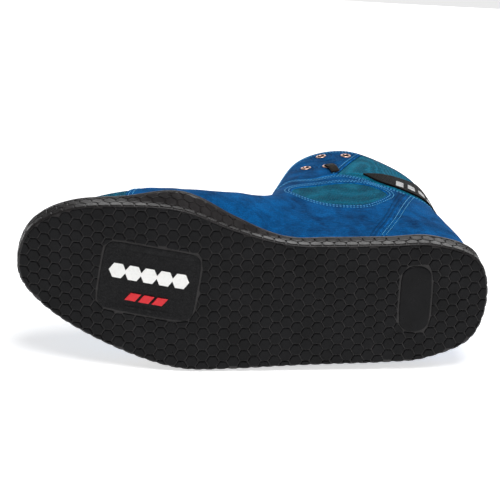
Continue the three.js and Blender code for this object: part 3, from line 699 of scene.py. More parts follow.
def threadFinish(name, tone):
    f = Finish(name, roughness=0.45, sheen=0.2, specular=0.5)
    twist = f.bands(0.45, "DIAGONAL")
    f.color(f.mix(f.ramp(twist, [(0.2, 0.0), (0.8, 0.5)]), tone, tuple(0.5 * v for v in tone)))
    f.bump(twist, 0.08)
    return f.look


def eyeletFinish(name):
    f = Finish(name, metallic=0.85, specular=0.5)
    plated = f.ramp(f.noise(1.6, 4), [(0.3, (0.5, 0.27, 0.21)), (0.65, (0.8, 0.55, 0.47))])
    # painted shade: where the inside mark is set, on the bore and back of the ring, the copper is coloured
    # near black for the shade inside the hole.
    f.color(f.mix(f.mark("inside"), plated, (0.004, 0.004, 0.005)))
    f.rough(f.ramp(f.noise(0.8, 3), [(0.3, 0.22), (0.75, 0.42)]))
    f.bump(f.noise(0.9, 2), 0.03)
    return f.look


def boardFinish(name, low, high, grain=1.2):
    f = Finish(name, roughness=0.85)
    f.color(f.ramp(f.noise(grain, 5), [(0.3, low), (0.7, high)]))
    f.bump(f.cells(grain * 0.8), 0.1)
    return f.look


royal = suedeFinish("royalSuede", (0.0002, 0.035, 0.12), (0.0004, 0.088, 0.28), (0.0012, 0.15, 0.46))
teal = meshFinish("tealMesh", (0.002, 0.11, 0.2), (0.0004, 0.01, 0.02), (0.008, 0.23, 0.36),
                  cell=1.15, rib=2.2)
collarTeal = meshFinish("collarMesh", (0.002, 0.16, 0.27), (0.0005, 0.03, 0.06), (0.012, 0.29, 0.46),
                        cell=1.0, rib=2.8)
rubber = rubberFinish("treadRubber", (0.0022, 0.0022, 0.0026), (0.005, 0.005, 0.0058), (0.26, 0.42), 0.12)
# painted light: the wall rubber is the tread's rubber coloured about four times lighter and browner, for
# light falling on the sole's wall from above. The moulded cup and the wall pads use it.
wallRubber = rubberFinish("wallRubber", (0.009, 0.0078, 0.008), (0.019, 0.0165, 0.017), (0.3, 0.46), 0.3)
badgeRubber = grainFinish("badgeRubber")
whiteInk = inkFinish("whiteInlay", (0.82, 0.82, 0.8))
redInk = inkFinish("redInlay", (0.62, 0.01, 0.018))
liningCloth = clothFinish("liningCloth", (0.006, 0.035, 0.07), (0.02, 0.09, 0.16), 0.6)
sockCloth = clothFinish("sockCloth", (0.02, 0.022, 0.026), (0.06, 0.065, 0.07), 0.8)
blackTape = clothFinish("blackTape", (0.0015, 0.0014, 0.0014), (0.007, 0.0065, 0.0065), 0.7)
whiteTape = clothFinish("whiteTape", (0.7, 0.7, 0.7), (0.92, 0.92, 0.92), 0.6)
bindingCloth = clothFinish("bindingCloth", (0.004, 0.05, 0.12), (0.012, 0.13, 0.28), 0.6)
blueThread = threadFinish("blueThread", (0.05, 0.42, 0.8))
copperRing = eyeletFinish("copperRing")
laceWeave = tapeFinish("laceWeave", (0.005, 0.0045, 0.004), (0.035, 0.03, 0.026))
fibreBoard = boardFinish("fibreBoard", (0.3, 0.24, 0.16), (0.5, 0.42, 0.3))
grayFoam = boardFinish("grayFoam", (0.03, 0.035, 0.04), (0.07, 0.08, 0.09), 0.7)
print("finishes ready")

# ---- the upper

upper = {"low": -0.2, "high": 1.45, "meshHigh": 0.75, "underlap": 3.0, "lining": -2.6, "liningTop": -1.4}


def crumple(data, amount, size, seed):
    # soft wrinkles: a few crossed waves, the same on each run
    waves = np.random.default_rng(seed)
    total = np.zeros(len(data))
    for _ in range(9):
        way = unit(waves.normal(size=(1, 3)) * np.array((0.5, 1, 1)))[0]
        length = size * waves.uniform(0.6, 1.8)
        total += np.sin(data[:, :3] @ way * 2 * math.pi / length + waves.uniform(0, 6.28)) / 3
    return amount * (np.abs(total) ** 1.4 * np.sign(total))


def puff(high, rise, reach, wrinkle=0.0, size=18, seed=1):
    # an outer offset that swells away from its seams
    def offset(edge, data):
        k = np.clip(edge / reach, 0, 1)
        k = k * k * (3 - 2 * k)
        return high + rise * k + crumple(data, wrinkle, size, seed) * np.clip((edge - 5.5) / 5, 0, 1)
    return offset


def liningTopOffset(edge, data):
    k = np.clip((edge - 3) / 3, 0, 1)
    return upper["low"] - (upper["low"] - upper["liningTop"]) * k


def upperPiece(name, skin, fields, low, high, look, body, replaced, round=0.9):
    cut = panel(skin, fields)
    points, faces, edge = thicken(cut, fields, low, high, round)
    piece = addPiece(name, points, faces, look, body, replaced, {"edgeDistance": edge})
    print(name, len(points))
    return piece


skin = wholeSkin()
sides = [("medial", 1), ("lateral", -1)]
eyelet = {"bore": 2.2, "flange": 3.8, "edge": 8, "flap": [(50, 149), (65, 147), (64, 172), (81, 168)],
          "throat": [4.75, 5.25, 5.75], "low": 1.5, "height": 1.0}


def throatPlace(side, station):
    u = np.array([stationU(side, station)])
    length = np.linalg.norm(upperPoint(u, 1.0) - upperPoint(u, 0.9)) * 10
    return u, np.array([1 - eyelet["edge"] / length])


eyeletPlaces = {(word, "flap"): [placeOn(side, y, z) for y, z in eyelet["flap"]] for word, side in sides}
eyeletPlaces.update({(word, "throat"): [throatPlace(side, s) for s in eyelet["throat"]]
                     for word, side in sides})


def holes(word, row):
    fields = []
    for u, h in eyeletPlaces[(word, row)]:
        middle, normal = upperPoint(u, h)[0], upperNormal(u, h)[0]

        def field(data, middle=middle, normal=normal):
            away = data[:, :3] - middle
            flat = away - (away @ normal)[:, None] * normal
            distance = np.linalg.norm(flat, axis=1) - eyelet["bore"] - 0.5
            return np.where(np.abs(away @ normal) < 12, distance, 60)
        fields.append(field)
    return fields


throatHoles = holes("medial", "throat") + holes("lateral", "throat")
toeFields = [leftOf(toeSeam)]
vampFields = [leftOf(vampSeam, 1, upper["underlap"]), leftOf(toeSeam, -1, upper["underlap"])]
quarterFields = [leftOf(vampSeam, -1), leftOf(topSeam, -1), leftOf(counterSeam, 1), leftOf(windowLine, 1),
                 belowTop()] + throatHoles
windowFields = [leftOf(windowLine, -1, upper["underlap"])]
counterFields = [leftOf(counterSeam, -1), leftOf(topSeam, -1)]
collarFields = [leftOf(topSeam, 1, upper["underlap"]), leftOf(flapSeam, -1), belowTop()]

upperPiece("toeCapSuede", skin, toeFields, upper["low"], puff(upper["high"], 0, 3, 0.15, 20, 2),
           royal, "boot", ["toe_cap"])
upperPiece("vampMesh", skin, vampFields, upper["low"], upper["meshHigh"], teal, "boot",
           ["vamp_mesh"])
upperPiece("quarterSuede", skin, quarterFields, upper["low"], puff(upper["high"], 0.1, 5, 0.2, 22, 3),
           royal, "boot", ["quarter_medial", "quarter_lateral"])
upperPiece("heelCounterSuede", skin, counterFields, upper["low"], puff(upper["high"], 0.2, 5, 0.15, 24, 4),
           royal, "boot", ["heel_counter_cover"])
collar = upperPiece("collarMeshPad", skin, collarFields, upper["low"],
                    puff(upper["meshHigh"], 1.6, 14, 0.15, 12, 5),
                    collarTeal, "boot", ["collar_mesh"])
for word, side in sides:
    fields = windowFields + [onSide(side)]
    upperPiece("meshWindow_" + word, skin, fields, upper["low"], puff(upper["meshHigh"], 0.5, 9, 0.1, 14, 6),
               teal, "boot", ["mesh_window_" + word])
    flapHoles = holes(word, "flap")
    flapFields = [leftOf(topSeam, 1, -0.3), leftOf(flapSeam, 1, -0.2), belowTop(), onSide(side)] + flapHoles
    upperPiece("ankleFlapSuede_" + word, skin, flapFields, upper["low"],
               puff(upper["high"], 0.1, 5, 0.45, 15, 8),
               royal, "flap_" + word, ["ankle_flap_" + word])
    upperPiece("flapLiningCloth_" + word, skin, flapFields, upper["lining"],
               upper["low"] + 0.05, liningCloth,
               "flap_" + word, ["flap_lining_" + word])

footLiningFields = [leftOf(topSeam, -1), belowTop()] + throatHoles
upperPiece("footLiningCloth", skin, footLiningFields, upper["lining"], liningTopOffset, liningCloth,
           "boot", ["foot_lining"])
collarLiningFields = [leftOf(topSeam, 1), leftOf(flapSeam, -1), belowTop()]
upperPiece("collarLiningCloth", skin, collarLiningFields, upper["lining"], liningTopOffset, liningCloth,
           "boot", ["collar_lining"])
inset = -6
upperPiece("collarFoamPad", skin, [leftOf(topSeam, 1, inset), leftOf(flapSeam, -1, inset), belowTop(inset)],
           -1.35, -0.3, grayFoam, "boot", ["collar_padding"])
upperPiece("heelStiffenerBoard", skin, [leftOf(counterSeam, -1, inset), leftOf(topSeam, -1, -30)],
           -1.35, -0.3, fibreBoard, "boot", ["heel_stiffener"])
upperPiece("toePuffBoard", skin, [leftOf(toeSeam, 1, inset)], -1.35, -0.3, fibreBoard, "boot",
           ["toe_puff"])

# ---- the outsole: a moulded cup with bevelled hexagon pads under it and on its wall

tread = {"pitch": 7.76, "groove": 0.36, "bevel": 0.55, "depth": 0.95, "rim": 0.9, "wallRaise": 0.55,
         "wallBorder": 2.6, "badge": {"x": 11, "y": yAt(-0.45), "width": 46, "length": 62, "corner": 8},
         "pivot": {"x": 0, "y": yAt(0.685), "width": 45, "length": 20, "corner": 9}, "tilt": 0.14}
wallOffset = bootSize["suede"] + 2 * bootSize["gap"]
wallOuter = wallOffset + bootSize["wall"]


def wallHeights():
    b = bootSize
    rows = [b["toeWall"], b["toeWall"] - 4, b["toeWall"] - 6, b["ballWall"] - 9, b["ballWall"] - 3,
            b["archWall"] + 3, b["archWall"] - 1, b["archWall"], b["archWall"], b["archWall"] + 2,
            b["heelWall"] - 1, b["heelWall"]]
    rows = [(z,) for z in rows]
    return loopRows(rows, rows)


wallLoop = wallHeights()


def wallPoint(u, share, offset):
    u = np.atleast_1d(np.asarray(u, float))
    top = shareAt(u, rowAt(wallLoop, u)[:, 0] + toeLift(edgePoint(u)[:, 1]))
    return offsetPoint(u, top * share, np.broadcast_to(offset, u.shape))


edgeRound = 1.9  # height of the sole's rounded lower edge


def sidePoint(u, v, lift, tall):
    # the outside of the sole at a height v up its side, from the rounded edge to the top of the wall
    u = np.asarray(u, float)
    foot = solePoint(u, 0.0 * u, edgeRound)
    joint = wallPoint(u, 0.0, wallOuter)
    lower = np.linalg.norm(joint - foot, axis=1)
    outward = unit(np.column_stack((-edgeNormal(u), np.zeros(len(u)))))
    k = np.clip(v / lower, 0, 1)[:, None]
    below = foot * (1 - k) + joint * k
    share = np.clip((v - lower) / np.maximum(tall - lower, 1), 0, 1)
    above = wallPoint(u, share, wallOuter)
    top = shareAt(u, rowAt(wallLoop, u)[:, 0] + toeLift(edgePoint(u)[:, 1])) * share
    blend = np.clip(v / lower, 0, 1)[:, None]
    way = unit(outward * (1 - blend) + upperNormal(u, top) * blend)
    return np.where((v < lower)[:, None], below, above) + way * np.asarray(lift)[..., None]


def edgeNormal(u):
    along = rowAt(edgeLoop, u + 0.02) - rowAt(edgeLoop, u - 0.02)
    along = unit(along * np.array((halfWidth, halfLength)))
    return np.column_stack((-along[:, 1], along[:, 0]))


def sideTall(u):
    foot = solePoint(u, 0.0 * u, edgeRound)
    joint, top = wallPoint(u, 0.0, wallOuter), wallPoint(u, 1.0, wallOuter)
    return np.linalg.norm(joint - foot, axis=1) + np.linalg.norm(top - joint, axis=1)


def roundedDistance(x, y, box, turn=0.0):
    # signed distance to a rounded rectangle, negative inside
    dx, dy = x - box["x"], y - box["y"]
    cx, sx = math.cos(turn), math.sin(turn)
    a, b = np.abs(dx * cx + dy * sx), np.abs(-dx * sx + dy * cx)
    a, b = a - box["width"] / 2 + box["corner"], b - box["length"] / 2 + box["corner"]
    outside = np.hypot(np.maximum(a, 0), np.maximum(b, 0))
    return outside + np.minimum(np.maximum(a, b), 0) - box["corner"]


outlineU = np.linspace(0, around, 1201)
outlineXY = edgePoint(outlineU)


def outlineInset(x, y):
    # distance inwards from the sole's outline
    gaps = np.hypot(outlineXY[:, 0] - x, outlineXY[:, 1] - y)
    k = int(np.argmin(gaps))
    ahead = outlineXY[(k + 1) % 1200] - outlineXY[k - 1]
    inward = np.array((-ahead[1], ahead[0])) / np.hypot(*ahead)
    return float((np.array((x, y)) - outlineXY[k]) @ inward)


def clipPolygon(corners, distance, least, rounds=2):
    # clips a polygon by the line where a distance field has its least allowed value
    for _ in range(rounds):
        values = [distance(*p) for p in corners]
        if min(values) >= least - 0.02:
            return corners
        if max(values) <= least + 0.3:
            return []
        cut = []
        for k, p in enumerate(corners):
            after = (k + 1) % len(corners)
            nextOne, a, b = corners[after], values[k] - least, values[after] - least
            if a >= 0:
                cut.append(p)
            if (a > 0) != (b > 0):
                share = a / (a - b)
                cut.append(tuple(pv + (qv - pv) * share for pv, qv in zip(p, nextOne)))
        corners = cut
        if len(corners) < 3:
            return []
    return corners


def shrink(corners, by):
    # moves every side of a convex polygon inwards
    p = np.array(corners)
    middle = p.mean(0)
    reach = np.linalg.norm(p - middle, axis=1, keepdims=True)
    return middle + (p - middle) * np.maximum(0.1, 1 - by * 1.15 / reach)


def area(corners):
    p = np.array(corners)
    x, y = p[:, 0], p[:, 1]
    return 0.5 * float(np.dot(x, np.roll(y, -1)) - np.dot(y, np.roll(x, -1)))


class Pile:
    # points and faces gathered for one mesh
    def __init__(self):
        self.points, self.faces = [], []

    def add(self, points, faces):
        start = len(self.points)
        self.points.extend(np.asarray(points).tolist())
        self.faces.extend(tuple(start + i for i in face) for face in faces)


def padFaces(count, layers=3):
    faces = []
    for layer in range(layers - 1):
        for k in range(count):
            j = (k + 1) % count
            faces.append((layer * count + k, layer * count + j, (layer + 1) * count + j,
                          (layer + 1) * count + k))
    faces.append(tuple(range((layers - 1) * count, layers * count)))
    faces.append(tuple(reversed(range(count))))
    return faces


def hexagon(x, y, across):
    reach = across / math.sqrt(3)
    return [(x + reach * math.cos(math.radians(30 + 60 * k)),
             y + reach * math.sin(math.radians(30 + 60 * k)))
            for k in range(6)]


def hexCentres(lowX, highX, lowY, highY, pitch):
    row = 0
    y = lowY
    while y <= highY:
        x = lowX + (pitch / 2 if row % 2 else 0)
        while x <= highX:
            yield x, y
            x += pitch
        y += pitch * math.sqrt(3) / 2
        row += 1


def treadPads():
    pile = Pile()
    groove = 1.3
    fields = [(outlineInset, tread["rim"] + tread["groove"]),
              (lambda x, y: float(roundedDistance(x, y, tread["badge"], tread["tilt"])), groove),
              (lambda x, y: float(roundedDistance(x, y, tread["pivot"])), groove)]
    for x, y in hexCentres(-62, 68, -154, 154, tread["pitch"]):
        if outlineInset(x, y) < -4:
            continue
        corners = hexagon(x, y, tread["pitch"] - 2 * tread["groove"])
        for distance, least in fields:
            corners = clipPolygon(corners, distance, least) if corners else []
        if len(corners) < 3 or area(corners) < 3:
            continue
        outline = np.array(corners)
        layers = [(outline, tread["depth"] + 0.1), (outline, tread["bevel"] * 0.8),
                  (shrink(corners, 0.22), 0.1),
                  (shrink(corners, 0.62), 0.0)]
        points = np.vstack([np.column_stack((ring, height + toeLift(ring[:, 1])))
                            for ring, height in layers])
        # the pads face down, so each ring runs the other way round
        order = np.concatenate([np.arange(k * len(corners), (k + 1) * len(corners))[::-1]
                                for k in range(len(layers))])
        pile.add(points[order], padFaces(len(corners), len(layers)))
    return pile


def wallPads():
    # hexagons in the wall's own coordinates: length round the sole and height up the wall
    pile = Pile()
    u = np.linspace(0, around, 601)
    tall = sideTall(u)
    middle = sidePoint(u, tall * 0.4, 0.0 * u, tall)
    length = np.concatenate(([0], np.cumsum(np.linalg.norm(np.diff(middle, axis=0), axis=1))))
    top = lambda s: float(np.interp(s, length, tall)) - tread["wallBorder"]
    polygons = []
    count = round(length[-1] / tread["pitch"])
    pitch = length[-1] / count
    for s, v in hexCentres(0, length[-1] - pitch / 2, 2.6, 44, pitch):
        corners = hexagon(s, v, pitch - 2 * tread["groove"])
        corners = clipPolygon(corners, lambda a, b: b, -0.5)
        corners = clipPolygon(corners, lambda a, b: top(a) - b, 0.0) if corners else []
        if len(corners) >= 3 and area(corners) > 3:
            polygons.append(corners)
    layers = []
    for corners in polygons:
        for ring, raised in ((np.array(corners), -0.75), (np.array(corners), -0.28),
                             (shrink(corners, 0.3), 0.0)):
            layers.append((ring, raised))
    flat = np.vstack([ring for ring, _ in layers])
    raised = np.concatenate([np.full(len(ring), r) for ring, r in layers])
    ringU = np.interp(np.mod(flat[:, 0], length[-1]), length, u)
    points = sidePoint(ringU, flat[:, 1], raised, np.interp(ringU, u, tall))
    start = 0
    for corners in polygons:
        n = len(corners)
        pile.add(points[start:start + 3 * n], padFaces(n, 3))
        start += 3 * n
    return pile


def ringLoft(rings, steps):
    # rings of points from the middle of the underside, round the edge, to the inside floor
    points = np.vstack(rings)
    faces = []
    for r in range(len(rings) - 1):
        for i in range(steps):
            j = (i + 1) % steps
            faces.append((r * steps + i, r * steps + j, (r + 1) * steps + j, (r + 1) * steps + i))
    for first, up in ((0, False), ((len(rings) - 1) * steps, True)):
        for i in range(steps // 2):
            corners = [first + k % steps for k in (i, i + 1, steps - i - 1, steps - i)]
            corners = list(dict.fromkeys(corners))
            if len(corners) > 2:
                faces.append(tuple(corners) if up else tuple(reversed(corners)))
    return points, faces


def outsoleShell():
    steps = 560
    u = np.arange(steps) / steps * around
    x = np.full(steps, 1.0)
    base, sunk = tread["depth"], -tread["wallRaise"]
    tall = sideTall(u)
    rings = [solePoint(u, 11 * x, base), solePoint(u, 2.2 * x, base), solePoint(u, 1.1 * x, base + 0.1),
             solePoint(u, 0.6 * x, base + 0.5)]
    rings += [sidePoint(u, v * x, sunk * x, tall) for v in (0.3, 2, 4, 6, 8, 9.5, 11)]
    border = tall - tread["wallBorder"]
    rings += [sidePoint(u, 11 + (border - 11) * k, sunk * x, tall) for k in (0.25, 0.5, 0.75, 0.98)]
    rings += [sidePoint(u, border + 0.1, -0.12 * x, tall), sidePoint(u, border + 0.5, 0 * x, tall),
              sidePoint(u, tall - 0.7, 0 * x, tall), sidePoint(u, tall - 0.15, -0.4 * x, tall),
              sidePoint(u, tall, -1.2 * x, tall)]
    rings += [wallPoint(u, 1 - 0.3 / tall, upper["high"] + 0.1)]
    rings += [wallPoint(u, share, upper["high"] + 0.1) for share in (0.6, 0.3, 0.0)]
    rings += [solePoint(u, bootSize["wall"] * x, bootSize["floor"]), solePoint(u, 11 * x, bootSize["floor"])]
    return ringLoft(rings, steps)


def soleInlay(name, box, turn, low, depth, look, node, crown=0.0):
    # a rounded plate let into the sole, its face towards the ground
    columns = 96
    angles = np.arange(columns) / columns * 2 * math.pi
    cosine, sine = math.cos(turn), math.sin(turn)
    rings = []
    for inset, height in ((0.0, low + depth), (0.0, low + 0.45), (0.35, low + 0.08), (0.9, low),
                          (4, low - crown)):
        half = np.array((box["width"] / 2 - inset, box["length"] / 2 - inset))
        corner = max(box["corner"] - inset, 0.6)
        way = np.column_stack((np.cos(angles), np.sin(angles)))
        power = 0.5
        shaped = np.sign(way) * np.abs(way) ** power
        reached = np.abs(shaped) * (half - corner) * 1.6
        point = np.sign(shaped) * np.minimum(reached, half - corner) + way * corner
        x = box["x"] + point[:, 0] * cosine - point[:, 1] * sine
        y = box["y"] + point[:, 0] * sine + point[:, 1] * cosine
        rings.append(np.column_stack((x, y, height + toeLift(y))))
    points, faces = np.vstack(rings), []
    for r in range(len(rings) - 1):
        for i in range(columns):
            j = (i + 1) % columns
            faces.append((r * columns + j, r * columns + i, (r + 1) * columns + i, (r + 1) * columns + j))
    last = (len(rings) - 1) * columns
    for first, down in ((last, True), (0, False)):
        for i in range(1, columns // 2):
            strip = [first + k % columns for k in (i, i + 1, columns - i - 1, columns - i)]
            strip = list(dict.fromkeys(strip))
            if len(strip) > 2:
                faces.append(tuple(reversed(strip)) if down else tuple(strip))
        ends = [first + k for k in (0, 1, columns - 1)]
        faces.append(tuple(reversed(ends)) if down else tuple(ends))
    return addPiece(name, points, faces, look, "boot", node)


points, faces = outsoleShell()
addPiece("outsoleCup", points, faces, wallRubber, "boot", ["outsole"])
pads = treadPads()
addPiece("outsoleTread", pads.points, pads.faces, rubber, "boot", smooth=False)
print("tread pads", len(pads.faces))
pads = wallPads()
addPiece("outsoleWallTread", pads.points, pads.faces, wallRubber, "boot", smooth=False)
soleInlay("forefootBadge", tread["badge"], tread["tilt"], 0.05, 1.4, badgeRubber,
          ["forefoot_badge"])
soleInlay("heelPivotPad", tread["pivot"], 0.0, 0.05, 1.4, rubber, ["heel_pivot_pad"])
print("outsole ready")

# ---- inside the sole


def soleLayer(name, insetOuter, low, high, look, node, edge=0.8, cup=0.0):
    # a flat layer on the sole's outline with round edges; cup raises its rim
    steps = 360
    u = np.arange(steps) / steps * around
    x = np.full(steps, 1.0)
    rings = [solePoint(u, (insetOuter + 8) * x, low), solePoint(u, (insetOuter + edge) * x, low),
             solePoint(u, (insetOuter + edge * 0.2) * x, low + edge * 0.3),
             solePoint(u, insetOuter * x, (low + high) / 2 + cup * 0.5),
             solePoint(u, (insetOuter + edge * 0.3) * x, high + cup - edge * 0.3),
             solePoint(u, (insetOuter + edge) * x, high + cup),
             solePoint(u, (insetOuter + 4) * x, high + cup * 0.25), solePoint(u, (insetOuter + 8) * x, high)]
    points, faces = ringLoft(rings, steps)
    return addPiece(name, points, faces, look, "boot", [node])


layerGap = bootSize["gap"]
midsoleLow = bootSize["floor"] + layerGap
liningDepth = -upper["lining"]
boardInset = featherInset + liningDepth + 2 * layerGap
boardLow = midsoleLow + bootSize["midsole"] + layerGap
sock = {"board": 1.6, "thickness": 3.5, "cup": 1.4}
sockLow = boardLow + sock["board"] + layerGap
soleLayer("midsoleFoam", bootSize["wall"] + 4 * layerGap, midsoleLow,
          midsoleLow + bootSize["midsole"], grayFoam,
          "midsole")
soleLayer("lastingBoardFibre", boardInset, boardLow, boardLow + sock["board"], fibreBoard,
          "lasting_board", 0.5)
soleLayer("sockLinerPad", boardInset + layerGap, sockLow, sockLow + sock["thickness"], sockCloth,
          "sockliner", 1.0, sock["cup"])

# ---- white and red inlays of the badge: a row of small hexagons and three dashes


def inlayCells(name, cells, low, look, node):
    pile = Pile()
    for corners in cells:
        rings = ((np.array(corners), low + 0.5), (np.array(corners), low + 0.1),
                 (shrink(corners, 0.25), low))
        points = np.vstack([np.column_stack((ring, height + toeLift(ring[:, 1]))) for ring, height in rings])
        order = np.concatenate([np.arange(k * len(corners), (k + 1) * len(corners))[::-1] for k in range(3)])
        pile.add(points[order], padFaces(len(corners), 3))
    return addPiece(name, pile.points, pile.faces, look, "boot", [node], smooth=False)


def turned(corners, x, y, turn):
    cosine, sine = math.cos(turn), math.sin(turn)
    return [(x + a * cosine - b * sine, y + a * sine + b * cosine) for a, b in corners]


badge = {"white": (15, yAt(-0.45)), "whiteAcross": 9.6, "whiteStep": 10, "whiteCount": 5,
         "red": (-1, yAt(-0.46)), "redLength": 6.6, "redWidth": 5.2, "redStep": 8.6, "redLean": 1.6}
whiteCells = []
for k in range(badge["whiteCount"]):
    hexCell = hexagon(0, (k - (badge["whiteCount"] - 1) / 2) * badge["whiteStep"], badge["whiteAcross"])
    whiteCells.append(turned(hexCell, *badge["white"], tread["tilt"]))
inlayCells("badgeWhiteCells", whiteCells, -0.03, whiteInk, "badge_white_mark")
redCells = []
for k in (-1, 0, 1):
    w, l, lean = badge["redWidth"] / 2, badge["redLength"] / 2, badge["redLean"]
    dash = [(w, -l + lean), (w, l + lean), (-w, l - lean), (-w, -l - lean)]
    dash = [(a, b + k * badge["redStep"]) for a, b in dash]
    redCells.append(turned(dash, *badge["red"], tread["tilt"]))
inlayCells("badgeRedDashes", redCells, -0.03, redInk, "badge_red_mark")

# ---- stitches


def stitchRow(pile, points, normals, length=1.7, pitch=2.3, thick=0.24, lift=0.12):
    # round-ended stitches along a line on the surface
    steps = np.linalg.norm(np.diff(points, axis=0), axis=1)
    s = np.concatenate(([0], np.cumsum(steps)))
    if s[-1] < 2 * pitch:
        return
    count = int(s[-1] / pitch)
    centres = (np.arange(count) + 0.5) * s[-1] / count
    at = lambda where, rows: np.column_stack([np.interp(where, s, rows[:, k]) for k in range(3)])
    sides6 = np.arange(6) / 6 * 2 * math.pi
    rings = [(-0.5, 0.15, -0.3), (-0.4, 0.75, -0.05), (-0.15, 1, 0.05), (0.15, 1, 0.05), (0.4, 0.75, -0.05),
             (0.5, 0.15, -0.3)]
    for centre in centres:
        start = at(np.array([centre - length / 2]), points)[0]
        end = at(np.array([centre + length / 2]), points)[0]
        up = unit(at(np.array([centre]), normals))[0]
        along = end - start
        ahead = along / max(np.linalg.norm(along), 1e-6)
        across = np.cross(up, ahead)
        middle = (start + end) / 2
        body = []
        for share, width, drop in rings:
            spot = middle + along * share + up * (lift + drop)
            body.extend(spot + (across * math.cos(a) * 1.25 + up * math.sin(a)) * thick * width
                        for a in sides6)
        faces = [(r * 6 + k, r * 6 + (k + 1) % 6, (r + 1) * 6 + (k + 1) % 6, (r + 1) * 6 + k)
                 for r in range(5) for k in range(6)]
        faces += [tuple(range(5, -1, -1)), tuple(range(30, 36))]
        pile.add(body, faces)


def placesOn(u, h, offset):
    normals = upperNormal(u, h)
    return upperPoint(u, h) + normals * offset, normals


def signedAt(line, u, h):
    points = upperPoint(u, h)
    normals = upperNormal(u, h)
    return leftOf(line)(np.column_stack((points, normals)))


def seamAcross(line, first, last, distance, step=0.03):
    # follows a seam round the boot: for each station, the height at the given distance from the seam
    u = np.arange(first, last, step)
    h = bisect(lambda share: signedAt(line, u, share), np.full(len(u), 0.05),
               np.full(len(u), 0.995), distance)
    return u, h


def seamUp(line, side, first, last, distance, count=160):
    # follows a seam up one side: for each height, the station at the given distance ahead of the seam
    h = np.linspace(first, last, count)

    def ahead(station):
        return -signedAt(line, stationU(side, station), h)

    station = bisect(ahead, np.full(count, 0.0), np.full(count, float(stations)), -distance)
    return stationU(side, station), h


def keptRuns(u, h, keep):
    # splits a line where its points are not kept
    runs, start = [], None
    for k, good in enumerate(list(keep) + [False]):
        if good and start is None:
            start = k
        if not good and start is not None:
            if k - start > 3:
                runs.append((u[start:k], h[start:k]))
            start = None
    return runs


seamRows = (2.2, 4.7)  # how far the two rows of stitches lie from a seam


def sewAlong(pile, u, h, keep, offset):
    for runU, runH in keptRuns(u, h, keep):
        stitchRow(pile, *placesOn(runU, runH, offset))


def skinRow(u, h):
    points = upperPoint(u, h)
    return np.column_stack((points, upperNormal(u, h), np.full(len(points), 60.0)))


def addStitches():
    bootRows = Pile()
    high = upper["high"]
    for distance in seamRows:
        u, h = seamAcross(topSeam, 6.25, around - 6.25, -distance)
        data = skinRow(u, h)
        away = np.abs(leftOf(counterSeam)(data)) > 1.0
        sewAlong(bootRows, u, h, away, high)
        for side in (1, -1):
            wallTop = rowAt(wallLoop, np.array([5.0, 8.0, 9.0]))[:, 0]
            for line, first, last, near in ((counterSeam, 0.08, 0.97, topSeam), (vampSeam, 0.1, 0.99, None),
                                            (toeSeam, 0.1, 0.97, None)):
                way = -distance if line is not toeSeam else distance
                u, h = seamUp(line, side, first, last, way)
                data = skinRow(u, h)
                keep = data[:, 2] > wallTop.min() + 2
                if near is not None:
                    keep &= leftOf(near, -1)(data) > 1.5
                sewAlong(bootRows, u, h, keep, high)
            loop = closedOffset(windowLine, distance)
            u, h = placeOn(side, loop[:, 0], loop[:, 1])
            sewAlong(bootRows, u, h, np.ones(len(u), bool), high)
    addPiece("quarterStitching", bootRows.points, bootRows.faces, blueThread, "boot")
    print("boot stitches", len(bootRows.faces))
    for word, side in sides:
        pile = Pile()
        for distance in seamRows[:1]:
            u, h = seamUp(flapSeam, side, 0.6, 0.99, distance + 0.4, 90)
            data = skinRow(u, h)
            keep = leftOf(topSeam, 1)(data) > 1.5
            sewAlong(pile, u, h, keep, high)
        span = np.linspace(6.15, 8.35, 90)
        u = stationU(side, span)
        length = np.linalg.norm(upperPoint(u, 1.0) - upperPoint(u, 0.9), axis=1) * 10
        for distance in seamRows:
            h = 1 - distance / length
            data = skinRow(u, h)
            keep = (leftOf(topSeam, 1)(data) > 2) & (leftOf(flapSeam, 1)(data) > 2)
            sewAlong(pile, u, h, keep, high)
        addPiece("flapStitching_" + word, pile.points, pile.faces, blueThread, "flap_" + word)


def closedOffset(line, distance):
    # a closed outline moved outwards; the outline runs clockwise
    p = line[:-1]
    ahead = np.roll(p, -1, 0) - np.roll(p, 1, 0)
    ahead /= np.linalg.norm(ahead, axis=1, keepdims=True)
    moved = p + np.column_stack((-ahead[:, 1], ahead[:, 0])) * distance
    return np.vstack((moved, moved[:1]))


addStitches()
print("stitches ready")

# ---- eyelets


def ringPiece(name, place, node, body):
    u, h = place
    middle, normal = upperPoint(u, h)[0], upperNormal(u, h)[0]
    aside = unit(np.cross(normal, (0.0, 0.0, 1.0)))
    forward = np.cross(normal, aside)
    bore, flange, low = eyelet["bore"], eyelet["flange"], eyelet["low"]
    back = upper["lining"]
    profile = [(bore, back), (bore + 0.15, back - 0.35), (bore + 0.9, back - 0.5), (bore + 1.1, back - 0.15),
               (bore + 0.45, back + 0.1), (bore + 0.45, low - 0.1), (flange - 0.3, low),
               (flange, low + 0.12),
               (flange - 0.05, low + 0.4), (flange - 0.5, low + 0.72), (flange - 1.0, low + 0.78),
               (bore + 0.35, low + 0.55), (bore + 0.05, low + 0.1), (bore, low - 0.6)]
    count = 36
    points, faces, inside = [], [], []
    for k in range(count):
        angle = k / count * 2 * math.pi
        way = aside * math.cos(angle) + forward * math.sin(angle)
        points.extend(middle + way * r + normal * z for r, z in profile)
        # inside marks the bore and back of the ring, where the finish paints shade near black
        inside.extend(1.0 if r < bore + 0.3 and z < low + 0.3 else 0.0 for r, z in profile)
    n = len(profile)
    for k in range(count):
        for r in range(n):
            faces.append((k * n + r, k * n + (r + 1) % n, (k + 1) % count * n + (r + 1) % n,
                          (k + 1) % count * n + r))
    return addPiece(name, points, faces, copperRing, body, [node], {"inside": inside})


